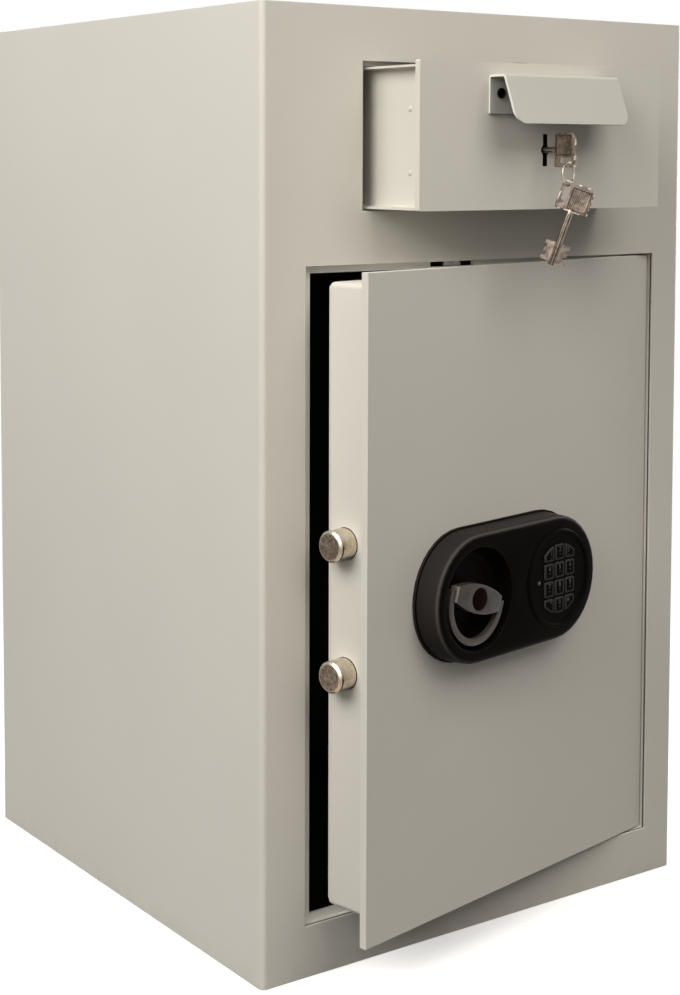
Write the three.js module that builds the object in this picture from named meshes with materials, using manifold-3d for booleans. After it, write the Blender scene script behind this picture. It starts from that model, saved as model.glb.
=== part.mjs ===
// Drop safe with a deposit drawer: a sheet steel cabinet with a hinged door below and a drawer above.
// Millimetres, +Z up, +Y into the safe. The origin is the middle of the cabinet's base on the floor.
// It stands as photographed: door ajar, bolts thrown, drawer pulled out with its key in the lock.

import * as THREE from "three";
import { mergeVertices } from "three/addons/utils/BufferGeometryUtils.js";
import Module from "manifold-3d";

const wasm = await Module();
wasm.setup();

// General values
const gap = 0.3; // left between two pieces that touch
const overrun = 1; // how far a cutting shape runs past what it cuts
const weld_distance = 1e-4; // vertices nearer than this are one
const fine_sides = 36; // facets round a large turned piece
const plain_sides = 24; // facets round a small one
const arc_steps = 6; // facets in a quarter of a rounded corner
const round_steps = 4; // facets across a rounded edge

// Cabinet
const cabinet_width = 396;
const cabinet_depth = 410;
const cabinet_height = 680;
const wall = 3; // sheet of the cabinet
const fold_radius = 4; // outside radius of the upright front edges
const lock_stile = 36.5; // front sheet left of the door opening
const hinge_stile = 28.5; // front sheet right of it
const opening_low = 37; // lower edge of the door opening
const middle_rail = 37.5; // front sheet between the door and the drawer opening

// Frame behind the door opening
const lip_reach = 7.8; // how far the lip stands into the opening on the lock side
const lip_reach_ends = 5; // the same at top and bottom
const lip_thick = 3;
const hinge_channel_depth = 50; // depth of the upright sheet beside the hinges
const notch_width = 40; // notch in the upper lip that holds the door keep
const notch_height = 4;
const notch_offset = 7.5; // middle of the notch left of the lock housing's middle
const keep_width = 16;
const keep_height = 3;

// Door
const door_open_rest = THREE.MathUtils.degToRad(11); // ajar, as photographed
const plate_thick = 6;
const plate_recess = 0.5; // the closed door's face lies this far behind the cabinet's
const plate_clearance = 1.25; // over and under the closed door
const plate_lock_clearance = 2.2; // on its lock side
const plate_seat = 0.5; // between the closed door and the lip
const hinge_inset = 18; // hinge axis from the plate's edge
const hinge_depth = 11.5; // hinge axis behind the plate's face
const corner_clearance = 0.3; // least gap as the plate's edge swings past the jamb
const door_depth = 46.5; // plate and boltwork box together
const box_sheet = 1.5;
const box_fold = 3; // outside radius of the box's back edges
const box_corner = 4; // radius of its corners seen from behind
const box_top_inset = 8.5; // from the plate's upper edge
const box_low_inset = 17; // from its lower edge
const box_swing_clearance = 0.8; // between the swinging box and the lip
const box_hinge_space = 9; // from the hinge axis to the box
const box_return = 10; // flange that the back cover lies against

// Hinges
const pin_radius = 3.5;
const running_clearance = 0.1; // on radius, pin in bore
const nose_radius = 5.2; // end of the fixed hinge leaf, round the axis
const leaf_thick = 4;
const leaf_length = 50;
const leaf_rise = 24; // height of the leaf's welded flange
const lug_length = 22;
const lug_width = 16;
const lug_depth = 13;
const washer_thick = 1.5;
const washer_radius = 5;

// Boltwork
const bolt_radius = 11;
const bolt_chamfer = 1.6;
const bolt_behind = 22; // bolt axis behind the plate's back
const bolt_offset = 45; // each bolt above or below the handle's axis
const bolt_throw_shown = 16; // thrown bolt, out of the box's side
const bolt_body_length = 53;
const tenon_radius = 5;
const tenon_length = 9;
const carrier_thick = 6;
const carrier_width = 15;
const carrier_overlap = 20; // carrier beyond the bolts' axes
const guide_sheet = 3;
const guide_setback = 20; // bolt guide from the box's side
const guide_foot = 14;
const slide_clearance = 0.35;

// Lock housing on the door
const lock_setback = 130.4; // middle of the housing from the boltwork box's lock side
const lock_below_middle = 1.3; // below the middle of the door opening
const housing_half = 45.4; // from the middle to each round end's centre
const housing_radius = 47.8;
const housing_depth = 21.6;
const rim_depth = 2.4; // thin flange against the door
const rim_step = 1.3;
const side_draft = 0.7; // the side wall draws in by this
const front_round = 4; // rounding of the front edge
const bowl_radius = 36.5;
const bowl_edge_round = 1.2; // rounding of the bowl's mouth
const bowl_floor_radius = 27;
const bowl_floor = 6; // floor of the bowl above the door
const keypad_radius = 37;
const keypad_thick = 6;
const keypad_ring_radius = 33; // inner edge of the raised ring
const keypad_ring_rise = 1.6;
const key_columns = 3;
const key_rows = 4;
const key_pitch_x = 12.4;
const key_pitch_z = 13.1;
const key_width = 10.2;
const key_height = 11.2;
const key_corner = 1.2;
const key_field_radius = 25.8; // the corner keys are trimmed to this circle
const key_rise = 1.1; // above the keypad's face
const key_travel = 1.2;
const key_depth = 5; // length of a key cap
const lamp_radius = 1.4;
const lamp_distance = 23.2; // lamp from the keypad's middle
const lamp_angle = THREE.MathUtils.degToRad(180.5); // and its place round it
const lamp_length = 3;
const lamp_rise = 0.4;

// Turning handle in the bowl
const grip_turn = THREE.MathUtils.degToRad(17); // right end down with the bolts thrown, as photographed
const grip_half = 24.8; // half length of the grip bar
const grip_high = 21; // its height in the middle
const grip_end_high = 11.6; // and at the ends
const grip_low_level = 13.3; // back of the bar above the door
const grip_thick = 8;
const grip_bevel = 0.8;
const hub_radius = 9;
const cap_radius = 7.8;
const cap_thick = 1.6;
const pull_outer = 30; // half width of the fold-out ring
const pull_drop = 33; // from the axis to the ring's lowest point
const pull_band = 4.8;
const pull_thick = 4;
const pull_pin_radius = 1.2;
const pull_pin_length = 5;
const spindle_radius = 5;
const crank_thick = 4;
const crank_radius = 11.3; // from spindle to crank pin
const crank_pin_radius = 3;
const crank_eye = 6.5; // round the crank's ends
const crank_behind = 12; // front of the crank behind the plate's back

// Electronic lock unit behind the keypad
const unit_width = 60;
const unit_height = 82;
const unit_depth = 26;
const unit_corner = 5;
const unit_offset = 20; // from the housing's middle

// Drawer opening and drawer front
const drawer_half = 114; // half width of the opening
const drawer_from_top = 38; // upper edge of the opening under the cabinet's top
const drawer_opening_high = 104; // height of the opening
const drawer_side_clearance = 2;
const drawer_end_clearance = 1.2;
const front_thick = 5;
const front_corner = 1.2;
const drawer_out_rest = 61.6; // pulled out, as photographed
const surround_reach = 4; // lip that stands into the opening at the sides
const surround_reach_ends = 3;
const surround_low_reach = 0.7;
const surround_margin = 10;
const surround_thick = 2;

// Drawer tray and its drop flap
const tray_sheet = 1.5;
const tray_half = 100.25; // middle of the side wall's sheet
const tray_flange_half = 109;
const tray_low_rise = 0.3; // flange above the front's lower edge
const tray_high_drop = 2.8; // flange below its upper edge
const tray_length = 235;
const tray_floor_rise = 1.7; // floor above the lower flange's underside
const tray_floor_length = 70;
const tab_width = 16;
const tab_margin = 20;
const flap_edge_clearance = 1;
const rod_radius = 2;
const barrel_radius = 3.5;
const rod_overhang = 2;
const bend_radius = 2.2; // middle of the sheet in a fold

// Runners and baffle
const runner_sheet = 1.5;
const runner_half = 110.75;
const runner_length = 258;
const runner_foot = 14;
const ledge_reach = 8;
const baffle_height = 76;
const baffle_back = 12; // behind the closed drawer
const baffle_teeth = 15;
const baffle_tooth = 9;

// Drawer handle
const handle_half = 52.5;
const handle_sheet = 1.8;
const handle_rise = 66.4; // lower edge of the leg above the drawer front's lower edge
const handle_tall = 26.7; // from there to the top of the handle
const handle_reach = 17; // depth of its flat top
const lip_out = 30.3; // the hanging lip's lower edge in front of the drawer
const lip_hang = 7.3; // and that far below the leg
const lip_corner = 9;
const screw_spread = 86;
const screw_rise = 14; // above the leg's lower edge
const screw_radius = 2;
const screw_head_radius = 3.6;
const screw_head_high = 2.2;

// Drawer lock
const lock_case_half = 20;
const lock_case_rise = 13.8; // above the drawer front's lower edge
const lock_case_tall = 53;
const lock_case_depth = 38;
const keyhole_rise = 41.5; // above the drawer front's lower edge
const keyhole_round = 3.6;
const keyhole_slot_half = 11.2;
const keyhole_slot_wide = 3.8;
const lock_chamber = 12.2;
const lock_chamber_depth = 34; // back of the chamber behind the case's front
const lock_face_thick = 2; // front wall of the case, which carries the key's stem
const lock_bolt_wide = 12;
const lock_bolt_thick = 6;
const lock_bolt_behind = 11; // front of the bolt behind the case's front
const lock_bolt_rise = 6.8; // above the drawer front's lower edge
const lock_bolt_tall = 20.5;

// Keys and split ring
const key_stem_radius = 2.25;
const key_stem_length = 39;
const key_bow_front = 11.1; // bow's shoulder in front of the drawer
const key_bow_length = 20;
const key_bow_high = 23.6;
const key_bow_thick = 2;
const key_bow_corner = 1;
const key_bow_chamfer = 3.4; // at the corner beyond the notches
const key_notch = 1.5; // depth of the notches in the bow's outer edge
const key_notch_shares = [0.3, -0.18]; // their upper ends, as shares of the bow's half height
const key_border = 1.7; // round the bow's sunk panels
const key_panel_depth = 0.35;
const key_bit_length = 14;
const key_bit_half = 9;
const key_bit_thick = 1.8;
const key_bit_end = 2; // plain stem past the bits
const key_hole_radius = 2.3; // round end of the slot that the ring hangs in
const key_hole_out = 5.6; // outer end of the slot from the bow's middle, away from the stem
const key_hole_down = 7.4; // and to the bow's lower side
const key_hole_run = 7.6; // from there to the slot's inner end
const key_ring_out = 3.2; // where the ring hangs in the turning key, from the bow's middle
const ring_radius = 8.05; // middle of the wire
const ring_wire = 0.7; // half thickness of the wire
const ring_hang = 0.5; // play where the ring hangs in a key
const ring_turn = THREE.MathUtils.degToRad(17.5);
const spare_turn = THREE.MathUtils.degToRad(-35.5);
const spare_tilt = THREE.MathUtils.degToRad(20);

// Anchor plugs in the base
const plug_radius = 6;
const plug_head_radius = 10;
const plug_head_thick = 2;
const plug_spread = 220;
const plug_y = 60;

// Places worked out from the sizes above
const front_y = -cabinet_depth / 2;
const drawer_high = cabinet_height - drawer_from_top;
const drawer_low = drawer_high - drawer_opening_high;
const opening_high = drawer_low - middle_rail;
const opening_left = -cabinet_width / 2 + lock_stile;
const opening_right = cabinet_width / 2 - hinge_stile;
const plate_front = front_y + plate_recess;
const plate_back = plate_front + plate_thick;
const hinge_gap = Math.hypot(hinge_inset, hinge_depth) - hinge_inset + corner_clearance;
const plate_left = opening_left + plate_lock_clearance;
const plate_right = opening_right - hinge_gap;
const plate_low = opening_low + plate_clearance;
const plate_high = opening_high - plate_clearance;
const hinge_x = plate_right - hinge_inset;
const hinge_y = plate_front + hinge_depth;
const lip_front = plate_back + plate_seat;
const lip_back = lip_front + lip_thick;
const lip_left = opening_left + lip_reach;
const box_back = plate_front + door_depth;
const box_swing = hinge_x - lip_left - box_swing_clearance;
const box_left = hinge_x - Math.sqrt(box_swing ** 2 - (box_back - hinge_y) ** 2);
const box_right = hinge_x - box_hinge_space;
const box_low = plate_low + box_low_inset;
const box_high = plate_high - box_top_inset;
const bolt_y = plate_back + bolt_behind;
const bolt_tip = box_left - bolt_throw_shown;
const bolt_shoulder = bolt_tip + bolt_body_length;
const lock_x = box_left + lock_setback;
const lock_z = (opening_low + opening_high) / 2 - lock_below_middle;
const notch_x = lock_x - notch_offset;
const handle_x = lock_x - housing_half;
const keypad_x = lock_x + housing_half;
const frame_left = opening_left - wall;
const drawer_face = front_y;
const drawer_back = drawer_face + front_thick;
const front_half = drawer_half - drawer_side_clearance;
const front_low = drawer_low + drawer_end_clearance;
const front_high = drawer_high - drawer_end_clearance;
const handle_low = front_low + handle_rise;
const handle_high = handle_low + handle_tall;
const lip_low = handle_low - lip_hang;
const lock_case_low = front_low + lock_case_rise;
const keyhole_z = front_low + keyhole_rise;
const lock_bolt_low = front_low + lock_bolt_rise;
const tray_front = drawer_back + gap;
const tray_low = front_low + tray_low_rise;
const tray_high = front_high - tray_high_drop;
const tray_inside = tray_half - tray_sheet / 2;
const tray_floor = tray_low + tray_floor_rise;
const tray_back = tray_front + tray_length;
const rod_y = tray_front + tray_floor_length + barrel_radius + flap_edge_clearance / 2;
const rod_z = tray_floor + tray_sheet + barrel_radius - tray_sheet;
const surround_back = tray_front + surround_thick;
const runner_front = surround_back + gap;

// Levels out of the door's face
function out(level) {
  return plate_front - level;
}

// Solids: three.js geometries are cut and joined by manifold-3d
function toSolid(geometry) {
  const bare = geometry.clone();
  bare.deleteAttribute("normal");
  bare.deleteAttribute("uv");
  const merged = mergeVertices(bare, weld_distance);
  const mesh = new wasm.Mesh({
    numProp: 3,
    vertProperties: new Float32Array(merged.attributes.position.array),
    triVerts: new Uint32Array(merged.index.array),
  });
  return new wasm.Manifold(mesh);
}

function toGeometry(solid) {
  const mesh = solid.getMesh();
  const geometry = new THREE.BufferGeometry();
  geometry.setAttribute("position", new THREE.BufferAttribute(new Float32Array(mesh.vertProperties), 3));
  geometry.setIndex(new THREE.BufferAttribute(new Uint32Array(mesh.triVerts), 1));
  geometry.computeVertexNormals();
  return geometry;
}

function cut(geometry, tools) {
  let solid = toSolid(geometry);
  for (const tool of tools) {
    solid = solid.subtract(toSolid(tool));
  }
  return toGeometry(solid);
}

function join(geometries) {
  let solid = toSolid(geometries[0]);
  for (const other of geometries.slice(1)) {
    solid = solid.add(toSolid(other));
  }
  return toGeometry(solid);
}

function common(geometry, other) {
  return toGeometry(toSolid(geometry).intersect(toSolid(other)));
}

// A box between two corners
function block(x0, x1, y0, y1, z0, z1) {
  const geometry = new THREE.BoxGeometry(x1 - x0, y1 - y0, z1 - z0);
  return geometry.translate((x0 + x1) / 2, (y0 + y1) / 2, (z0 + z1) / 2);
}

// Turns a form drawn along +Z so that it runs along the named axis
const along = {
  x: new THREE.Matrix4().makeBasis(
    new THREE.Vector3(0, 1, 0),
    new THREE.Vector3(0, 0, 1),
    new THREE.Vector3(1, 0, 0),
  ),
  y: new THREE.Matrix4().makeBasis(
    new THREE.Vector3(-1, 0, 0),
    new THREE.Vector3(0, 0, 1),
    new THREE.Vector3(0, 1, 0),
  ),
  z: new THREE.Matrix4(),
};

// A cylinder that starts at a point and runs along +X, +Y or +Z
function rod(radius, length, axis, start, sides = plain_sides) {
  const geometry = new THREE.CylinderGeometry(radius, radius, length, sides);
  geometry.rotateX(Math.PI / 2);
  geometry.translate(0, 0, length / 2);
  geometry.applyMatrix4(along[axis]);
  return geometry.translate(start[0], start[1], start[2]);
}

// A profile of radius and level turned round the named axis, levels counted along that axis
function turned(profile, axis, start, sides = fine_sides) {
  const points = profile.map(([radius, level]) => new THREE.Vector2(radius, level));
  const geometry = new THREE.LatheGeometry(points, sides);
  geometry.rotateX(Math.PI / 2);
  geometry.applyMatrix4(along[axis]);
  geometry.translate(start[0], start[1], start[2]);
  return facingOut(geometry);
}

// The same form with its faces outwards, whichever way its outline ran
function facingOut(geometry) {
  const merged = mergeVertices(geometry.deleteAttribute("normal").deleteAttribute("uv"), weld_distance);
  const place = merged.attributes.position;
  const index = Array.from(merged.index.array);
  const corner = [new THREE.Vector3(), new THREE.Vector3(), new THREE.Vector3()];
  const kept = [];
  let volume = 0;
  for (let i = 0; i < index.length; i += 3) {
    const [a, b, c] = index.slice(i, i + 3);
    if (a === b || b === c || c === a) continue;
    [a, b, c].forEach((vertex, k) => corner[k].fromBufferAttribute(place, vertex));
    volume += corner[0].dot(corner[1].clone().cross(corner[2]));
    kept.push(a, b, c);
  }
  if (volume < 0) kept.reverse();
  merged.setIndex(kept);
  merged.computeVertexNormals();
  return merged;
}

// An outline in X and Z, made solid between two values of Y
function plateXZ(shape, y0, y1, steps = arc_steps) {
  const geometry = new THREE.ExtrudeGeometry(shape, { depth: y1 - y0, bevelEnabled: false, curveSegments: steps });
  geometry.applyMatrix4(
    new THREE.Matrix4().makeBasis(
      new THREE.Vector3(1, 0, 0),
      new THREE.Vector3(0, 0, 1),
      new THREE.Vector3(0, -1, 0),
    ),
  );
  return geometry.translate(0, y1, 0);
}

// An outline in Y and Z, made solid between two values of X
function plateYZ(shape, x0, x1, steps = arc_steps) {
  const geometry = new THREE.ExtrudeGeometry(shape, { depth: x1 - x0, bevelEnabled: false, curveSegments: steps });
  geometry.applyMatrix4(along.x);
  return geometry.translate(x0, 0, 0);
}

// An outline in X and Y, made solid between two values of Z
function plateXY(shape, z0, z1, steps = arc_steps) {
  const geometry = new THREE.ExtrudeGeometry(shape, { depth: z1 - z0, bevelEnabled: false, curveSegments: steps });
  return geometry.translate(0, 0, z0);
}

function roundedOutline(u0, u1, v0, v1, radius) {
  const shape = new THREE.Shape();
  shape.absarc(u1 - radius, v0 + radius, radius, -Math.PI / 2, 0);
  shape.absarc(u1 - radius, v1 - radius, radius, 0, Math.PI / 2);
  shape.absarc(u0 + radius, v1 - radius, radius, Math.PI / 2, Math.PI);
  shape.absarc(u0 + radius, v0 + radius, radius, Math.PI, Math.PI * 1.5);
  shape.closePath();
  return shape;
}

function outlineOf(points) {
  const shape = new THREE.Shape();
  points.forEach(([u, v], i) => (i ? shape.lineTo(u, v) : shape.moveTo(u, v)));
  shape.closePath();
  return shape;
}

// The section of a bent sheet: the middle line runs through the corners with one bend radius
function bentSheet(corners, thickness, radius) {
  const line = [];
  corners.forEach(([u, v], i) => {
    const here = new THREE.Vector2(u, v);
    if (i === 0 || i === corners.length - 1) {
      const other = new THREE.Vector2(...corners[i === 0 ? 1 : i - 1]);
      const way = other.sub(here).normalize().multiplyScalar(i === 0 ? 1 : -1);
      line.push([here, way]);
      return;
    }
    const before = new THREE.Vector2(...corners[i - 1]).sub(here).normalize();
    const after = new THREE.Vector2(...corners[i + 1]).sub(here).normalize();
    const half = Math.acos(THREE.MathUtils.clamp(before.dot(after), -1, 1)) / 2;
    const bisector = before.clone().add(after).normalize();
    const centre = here.clone().addScaledVector(bisector, radius / Math.sin(half));
    const from = here.clone().addScaledVector(before, radius / Math.tan(half)).sub(centre);
    const turn = Math.PI - 2 * half;
    const side = Math.sign(before.cross(after)) * -1;
    const steps = Math.max(2, Math.ceil((turn / (Math.PI / 2)) * arc_steps));
    for (let k = 0; k <= steps; k += 1) {
      const angle = (side * turn * k) / steps;
      const spoke = from.clone().rotateAround(new THREE.Vector2(), angle);
      const way = spoke.clone().normalize().rotateAround(new THREE.Vector2(), (side * Math.PI) / 2);
      line.push([centre.clone().add(spoke), way]);
    }
  });
  const near = line.map(([p, way]) => [p.x - (way.y * thickness) / 2, p.y + (way.x * thickness) / 2]);
  const far = line.map(([p, way]) => [p.x + (way.y * thickness) / 2, p.y - (way.x * thickness) / 2]);
  return outlineOf(near.concat(far.reverse()));
}

// A closed skin over rings of equal count, each a list of points, with flat ends
function loft(rings) {
  const count = rings[0].length;
  const points = rings.flat();
  const middle = (ring) => ring.reduce((sum, p) => sum.add(p), new THREE.Vector3()).divideScalar(count);
  points.push(middle(rings[0]), middle(rings[rings.length - 1]));
  const index = [];
  for (let r = 0; r < rings.length - 1; r += 1) {
    for (let k = 0; k < count; k += 1) {
      const next = (k + 1) % count;
      const a = r * count + k;
      const b = r * count + next;
      index.push(a, b, b + count, a, b + count, a + count);
    }
  }
  const last = (rings.length - 1) * count;
  for (let k = 0; k < count; k += 1) {
    const next = (k + 1) % count;
    index.push(points.length - 2, next, k);
    index.push(points.length - 1, last + k, last + next);
  }
  const geometry = new THREE.BufferGeometry().setFromPoints(points);
  geometry.setIndex(index);
  return facingOut(geometry);
}

// Finishes
function finish(color, roughness, metalness) {
  return new THREE.MeshStandardMaterial({ color, roughness, metalness });
}

const paint = finish("#c3beb0", 0.62, 0.1);
const inner_paint = finish("#bdb8aa", 0.66, 0.1);
const nickel = finish("#b3a58f", 0.32, 1);
const zinc = finish("#9d988c", 0.45, 1);
const bright_steel = finish("#c4c1b8", 0.3, 1);
const black_moulding = finish("#17140f", 0.55, 0);
const key_rubber = finish("#1b1916", 0.7, 0);
const grey_moulding = finish("#4b453f", 0.5, 0.1);
const lamp_lens = finish("#5a1512", 0.25, 0);

// Groups carry the pose: the door turns on its hinge axis, the drawer slides out
const safe = new THREE.Group();
const door_pivot = new THREE.Group();
door_pivot.position.set(hinge_x, hinge_y, 0);
door_pivot.rotation.z = door_open_rest;
const door = new THREE.Group();
door.position.set(-hinge_x, -hinge_y, 0);
door_pivot.add(door);
const drawer = new THREE.Group();
drawer.position.y = -drawer_out_rest;
safe.add(door_pivot, drawer);

// The handle's own group stands on the spindle's axis and carries its turn
const handle = new THREE.Group();
handle.position.set(handle_x, 0, lock_z);
handle.rotation.y = grip_turn;
door.add(handle);

function piece(name, geometry, material, parent = safe) {
  const mesh = new THREE.Mesh(geometry, material);
  mesh.name = name;
  parent.add(mesh);
  return mesh;
}

// Cabinet: one folded sheet makes the sides and the front with both openings
function cabinetWrap() {
  const half = cabinet_width / 2 - wall / 2;
  const corners = [
    [-half, cabinet_depth / 2],
    [-half, front_y + wall / 2],
    [half, front_y + wall / 2],
    [half, cabinet_depth / 2],
  ];
  const sheet = plateXY(bentSheet(corners, wall, fold_radius - wall / 2), 0, cabinet_height);
  const door_hole = block(
    opening_left,
    opening_right,
    front_y - overrun,
    front_y + wall + overrun,
    opening_low,
    opening_high,
  );
  const drawer_hole = block(
    -drawer_half,
    drawer_half,
    front_y - overrun,
    front_y + wall + overrun,
    drawer_low,
    drawer_high,
  );
  return cut(sheet, [door_hole, drawer_hole]);
}

function flatPanel(z0) {
  const half = cabinet_width / 2 - wall - gap;
  return block(-half, half, front_y + wall + gap, cabinet_depth / 2 - wall - gap, z0, z0 + wall);
}

function plugPlaces() {
  return [-plug_spread / 2, plug_spread / 2];
}

function basePanel() {
  const holes = plugPlaces().map((x) => rod(plug_radius + gap, wall + 2 * overrun, "z", [x, plug_y, -overrun]));
  return cut(flatPanel(0), holes);
}

function backPanel() {
  const half = cabinet_width / 2 - wall - gap;
  return block(-half, half, cabinet_depth / 2 - wall, cabinet_depth / 2, 0, cabinet_height);
}

function anchorPlug(x) {
  const head = wall + gap;
  const profile = [
    [0, gap],
    [plug_radius, gap],
    [plug_radius, head],
    [plug_head_radius, head],
    [plug_head_radius, head + plug_head_thick / 2],
    [plug_head_radius - plug_head_thick / 2, head + plug_head_thick],
    [0, head + plug_head_thick],
  ];
  return turned(profile, "z", [x, plug_y, 0], plain_sides);
}

// Frame of the door opening: a lip on three sides, a deep upright channel on the hinge side
function doorFrame() {
  const low = opening_low - wall;
  const high = opening_high + wall;
  const lip_end = hinge_x - nose_radius - gap;
  const front = front_y + wall + gap;
  const jamb_left = block(frame_left, opening_left, front, lip_back, low, high);
  const jamb_low = block(frame_left, opening_right + wall, front, lip_back, low, opening_low);
  const jamb_high = block(frame_left, opening_right + wall, front, lip_back, opening_high, high);
  const jamb_right = block(opening_right, opening_right + wall, front, front_y + hinge_channel_depth, low, high);
  const lip_side = block(frame_left, lip_left, lip_front, lip_back, low, high);
  const lip_low_edge = block(frame_left, lip_end, lip_front, lip_back, low, opening_low + lip_reach_ends);
  const lip_high_edge = block(frame_left, lip_end, lip_front, lip_back, opening_high - lip_reach_ends, high);
  const frame = join([jamb_left, jamb_low, jamb_high, jamb_right, lip_side, lip_low_edge, lip_high_edge]);
  const notch = block(
    notch_x - notch_width / 2,
    notch_x + notch_width / 2,
    lip_front - overrun,
    lip_back + overrun,
    opening_high - notch_height,
    opening_high,
  );
  return cut(frame, [notch]);
}

// Keep seated in the notch of the upper lip
function doorKeep() {
  const top = opening_high - gap;
  const low = opening_high - notch_height + gap;
  const half = keep_width / 2;
  const shape = outlineOf([
    [notch_x - half, low],
    [notch_x + half, low],
    [notch_x + half, top - keep_height / 2],
    [notch_x + half - keep_height / 2, top],
    [notch_x - half + keep_height / 2, top],
    [notch_x - half, top - keep_height / 2],
  ]);
  return plateXZ(shape, lip_front, lip_back + lip_thick);
}

// Hinges: a fixed leaf with its pin, a bored lug on the door and a thrust washer between
// side is 1 at the top, where the pin hangs down, and -1 at the bottom
function hingeLevels(side) {
  const lug_end = side > 0 ? box_high - gap : box_low + gap;
  const washer = lug_end + side * gap;
  const leaf = washer + side * (washer_thick + gap);
  return { lug_end, washer, leaf };
}

function span(level, side, length) {
  return side > 0 ? [level, level + length] : [level - length, level];
}

function hingeLeaf(side) {
  const { leaf } = hingeLevels(side);
  const back = lip_back + gap;
  const [low, high] = span(leaf, side, leaf_thick);
  const [rise_low, rise_high] = span(leaf, side, leaf_rise);
  const flat = block(hinge_x - leaf_length, hinge_x, back, hinge_y + nose_radius, low, high);
  const nose = rod(nose_radius, high - low, "z", [hinge_x, hinge_y, low]);
  const flange_end = hinge_x - nose_radius;
  const flange = block(hinge_x - leaf_length, flange_end, back, back + leaf_thick, rise_low, rise_high);
  const pin_length = leaf_thick / 2 + washer_thick + 2 * gap + lug_length - leaf_thick;
  const [pin_low] = span(leaf + side * (leaf_thick / 2), -side, pin_length);
  const pin = rod(pin_radius, pin_length, "z", [hinge_x, hinge_y, pin_low], fine_sides);
  return join([flat, nose, flange, pin]);
}

function hingeLug(side) {
  const { lug_end } = hingeLevels(side);
  const [low, high] = span(lug_end, -side, lug_length);
  const front = plate_back + gap;
  const x0 = hinge_x - lug_width / 2;
  const body = block(x0, hinge_x + lug_width / 2, front, front + lug_depth, low, high);
  const bore = rod(
    pin_radius + running_clearance,
    lug_length + 2 * overrun,
    "z",
    [hinge_x, hinge_y, low - overrun],
    fine_sides,
  );
  return cut(body, [bore]);
}

function thrustWasher(side) {
  const { washer } = hingeLevels(side);
  const [low] = span(washer, side, washer_thick);
  const inner = pin_radius + running_clearance;
  const profile = [
    [inner, 0],
    [washer_radius, 0],
    [washer_radius, washer_thick],
    [inner, washer_thick],
    [inner, 0],
  ];
  return turned(profile, "z", [hinge_x, hinge_y, low]);
}

// Drawer opening: a raised lip behind the front sheet
function drawerSurround() {
  const front = front_y + wall + gap;
  const outer = roundedOutline(
    -drawer_half - surround_margin,
    drawer_half + surround_margin,
    drawer_low - surround_margin,
    drawer_high + surround_margin,
    front_corner,
  );
  const frame = plateXZ(outer, front, surround_back);
  const through = block(
    -drawer_half + surround_reach,
    drawer_half - surround_reach,
    front - overrun,
    surround_back + overrun,
    drawer_low + surround_low_reach,
    drawer_high - surround_reach_ends,
  );
  const step = block(-drawer_half, drawer_half, front - overrun, tray_front, drawer_low, drawer_high);
  return cut(frame, [through, step]);
}

// Runner: a folded side of the chute, hung from the top panel, with ledges for the tray's flanges
function drawerRunner(side) {
  const ledge_z = tray_low - gap - runner_sheet / 2;
  const top_z = cabinet_height - wall - gap - runner_sheet / 2;
  const corners = [
    [side * (runner_half - ledge_reach), ledge_z],
    [side * runner_half, ledge_z],
    [side * runner_half, top_z],
    [side * (runner_half + runner_foot), top_z],
  ];
  const back = runner_front + runner_length;
  const sheet = plateXZ(bentSheet(corners, runner_sheet, bend_radius), runner_front, back);
  const edge = [side * (runner_half - ledge_reach), side * runner_half].sort((a, b) => a - b);
  const keeper_back = tray_back + baffle_back - gap;
  const keeper = block(edge[0], edge[1], runner_front, keeper_back, tray_high + gap, tray_high + gap + runner_sheet);
  return join([sheet, keeper]);
}

// Baffle behind the drawer, with a toothed lower edge against fishing
function fishingBaffle() {
  const half = runner_half - runner_sheet / 2 - gap;
  const top = cabinet_height - wall - gap;
  const low = top - baffle_height;
  const front = tray_back + baffle_back;
  const points = [
    [-half, top],
    [-half, low + baffle_tooth],
  ];
  for (let i = 0; i < baffle_teeth; i += 1) {
    const step = (2 * half) / baffle_teeth;
    points.push([-half + step * (i + 1 / 2), low]);
    if (i < baffle_teeth - 1) points.push([-half + step * (i + 1), low + baffle_tooth]);
  }
  points.push([half, low + baffle_tooth], [half, top]);
  const sheet = plateXZ(outlineOf(points), front, front + tray_sheet);
  const foot = block(-half, half, front, front + runner_foot, top - tray_sheet, top);
  return join([sheet, foot]);
}

// Door plate, with holes for the handle's spindle
function doorPlate() {
  const plate = block(plate_left, plate_right, plate_front, plate_back, plate_low, plate_high);
  const spindle = rod(
    spindle_radius + gap,
    plate_thick + 2 * overrun,
    "y",
    [handle_x, plate_front - overrun, lock_z],
  );
  return cut(plate, [spindle]);
}

// A frame outline seen from the front, grown or drawn in by an offset
function boxOutline(inset) {
  const radius = Math.max(box_corner - inset, box_sheet / 2);
  return roundedOutline(box_left + inset, box_right - inset, box_low + inset, box_high - inset, radius);
}

function boltHeights() {
  return [lock_z + bolt_offset, lock_z - bolt_offset];
}

// Boltwork box: four folded sides with a return flange, round at the back edge
function doorBox() {
  const front = plate_back + gap;
  const back = box_back - box_sheet - gap;
  const rings = [
    [0, front],
    [0, back - box_fold],
  ];
  for (let k = 1; k <= arc_steps / 2; k += 1) {
    const angle = (k / (arc_steps / 2)) * (Math.PI / 2);
    rings.push([box_fold * (1 - Math.cos(angle)), back - box_fold + box_fold * Math.sin(angle)]);
  }
  const skin = loft(
    rings.map(([inset, y]) => boxOutline(inset).getPoints(arc_steps / 2).slice(0, -1).map((p) => new THREE.Vector3(p.x, y, p.y))),
  );
  const hollow = plateXZ(boxOutline(box_sheet), front - overrun, back - box_sheet);
  const mouth = plateXZ(boxOutline(box_return), front - overrun, back + overrun);
  const holes = boltHeights().map((z) =>
    rod(bolt_radius + slide_clearance, 2 * box_fold, "x", [box_left - box_fold, bolt_y, z], fine_sides),
  );
  return cut(skin, [hollow, mouth, ...holes]);
}

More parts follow.
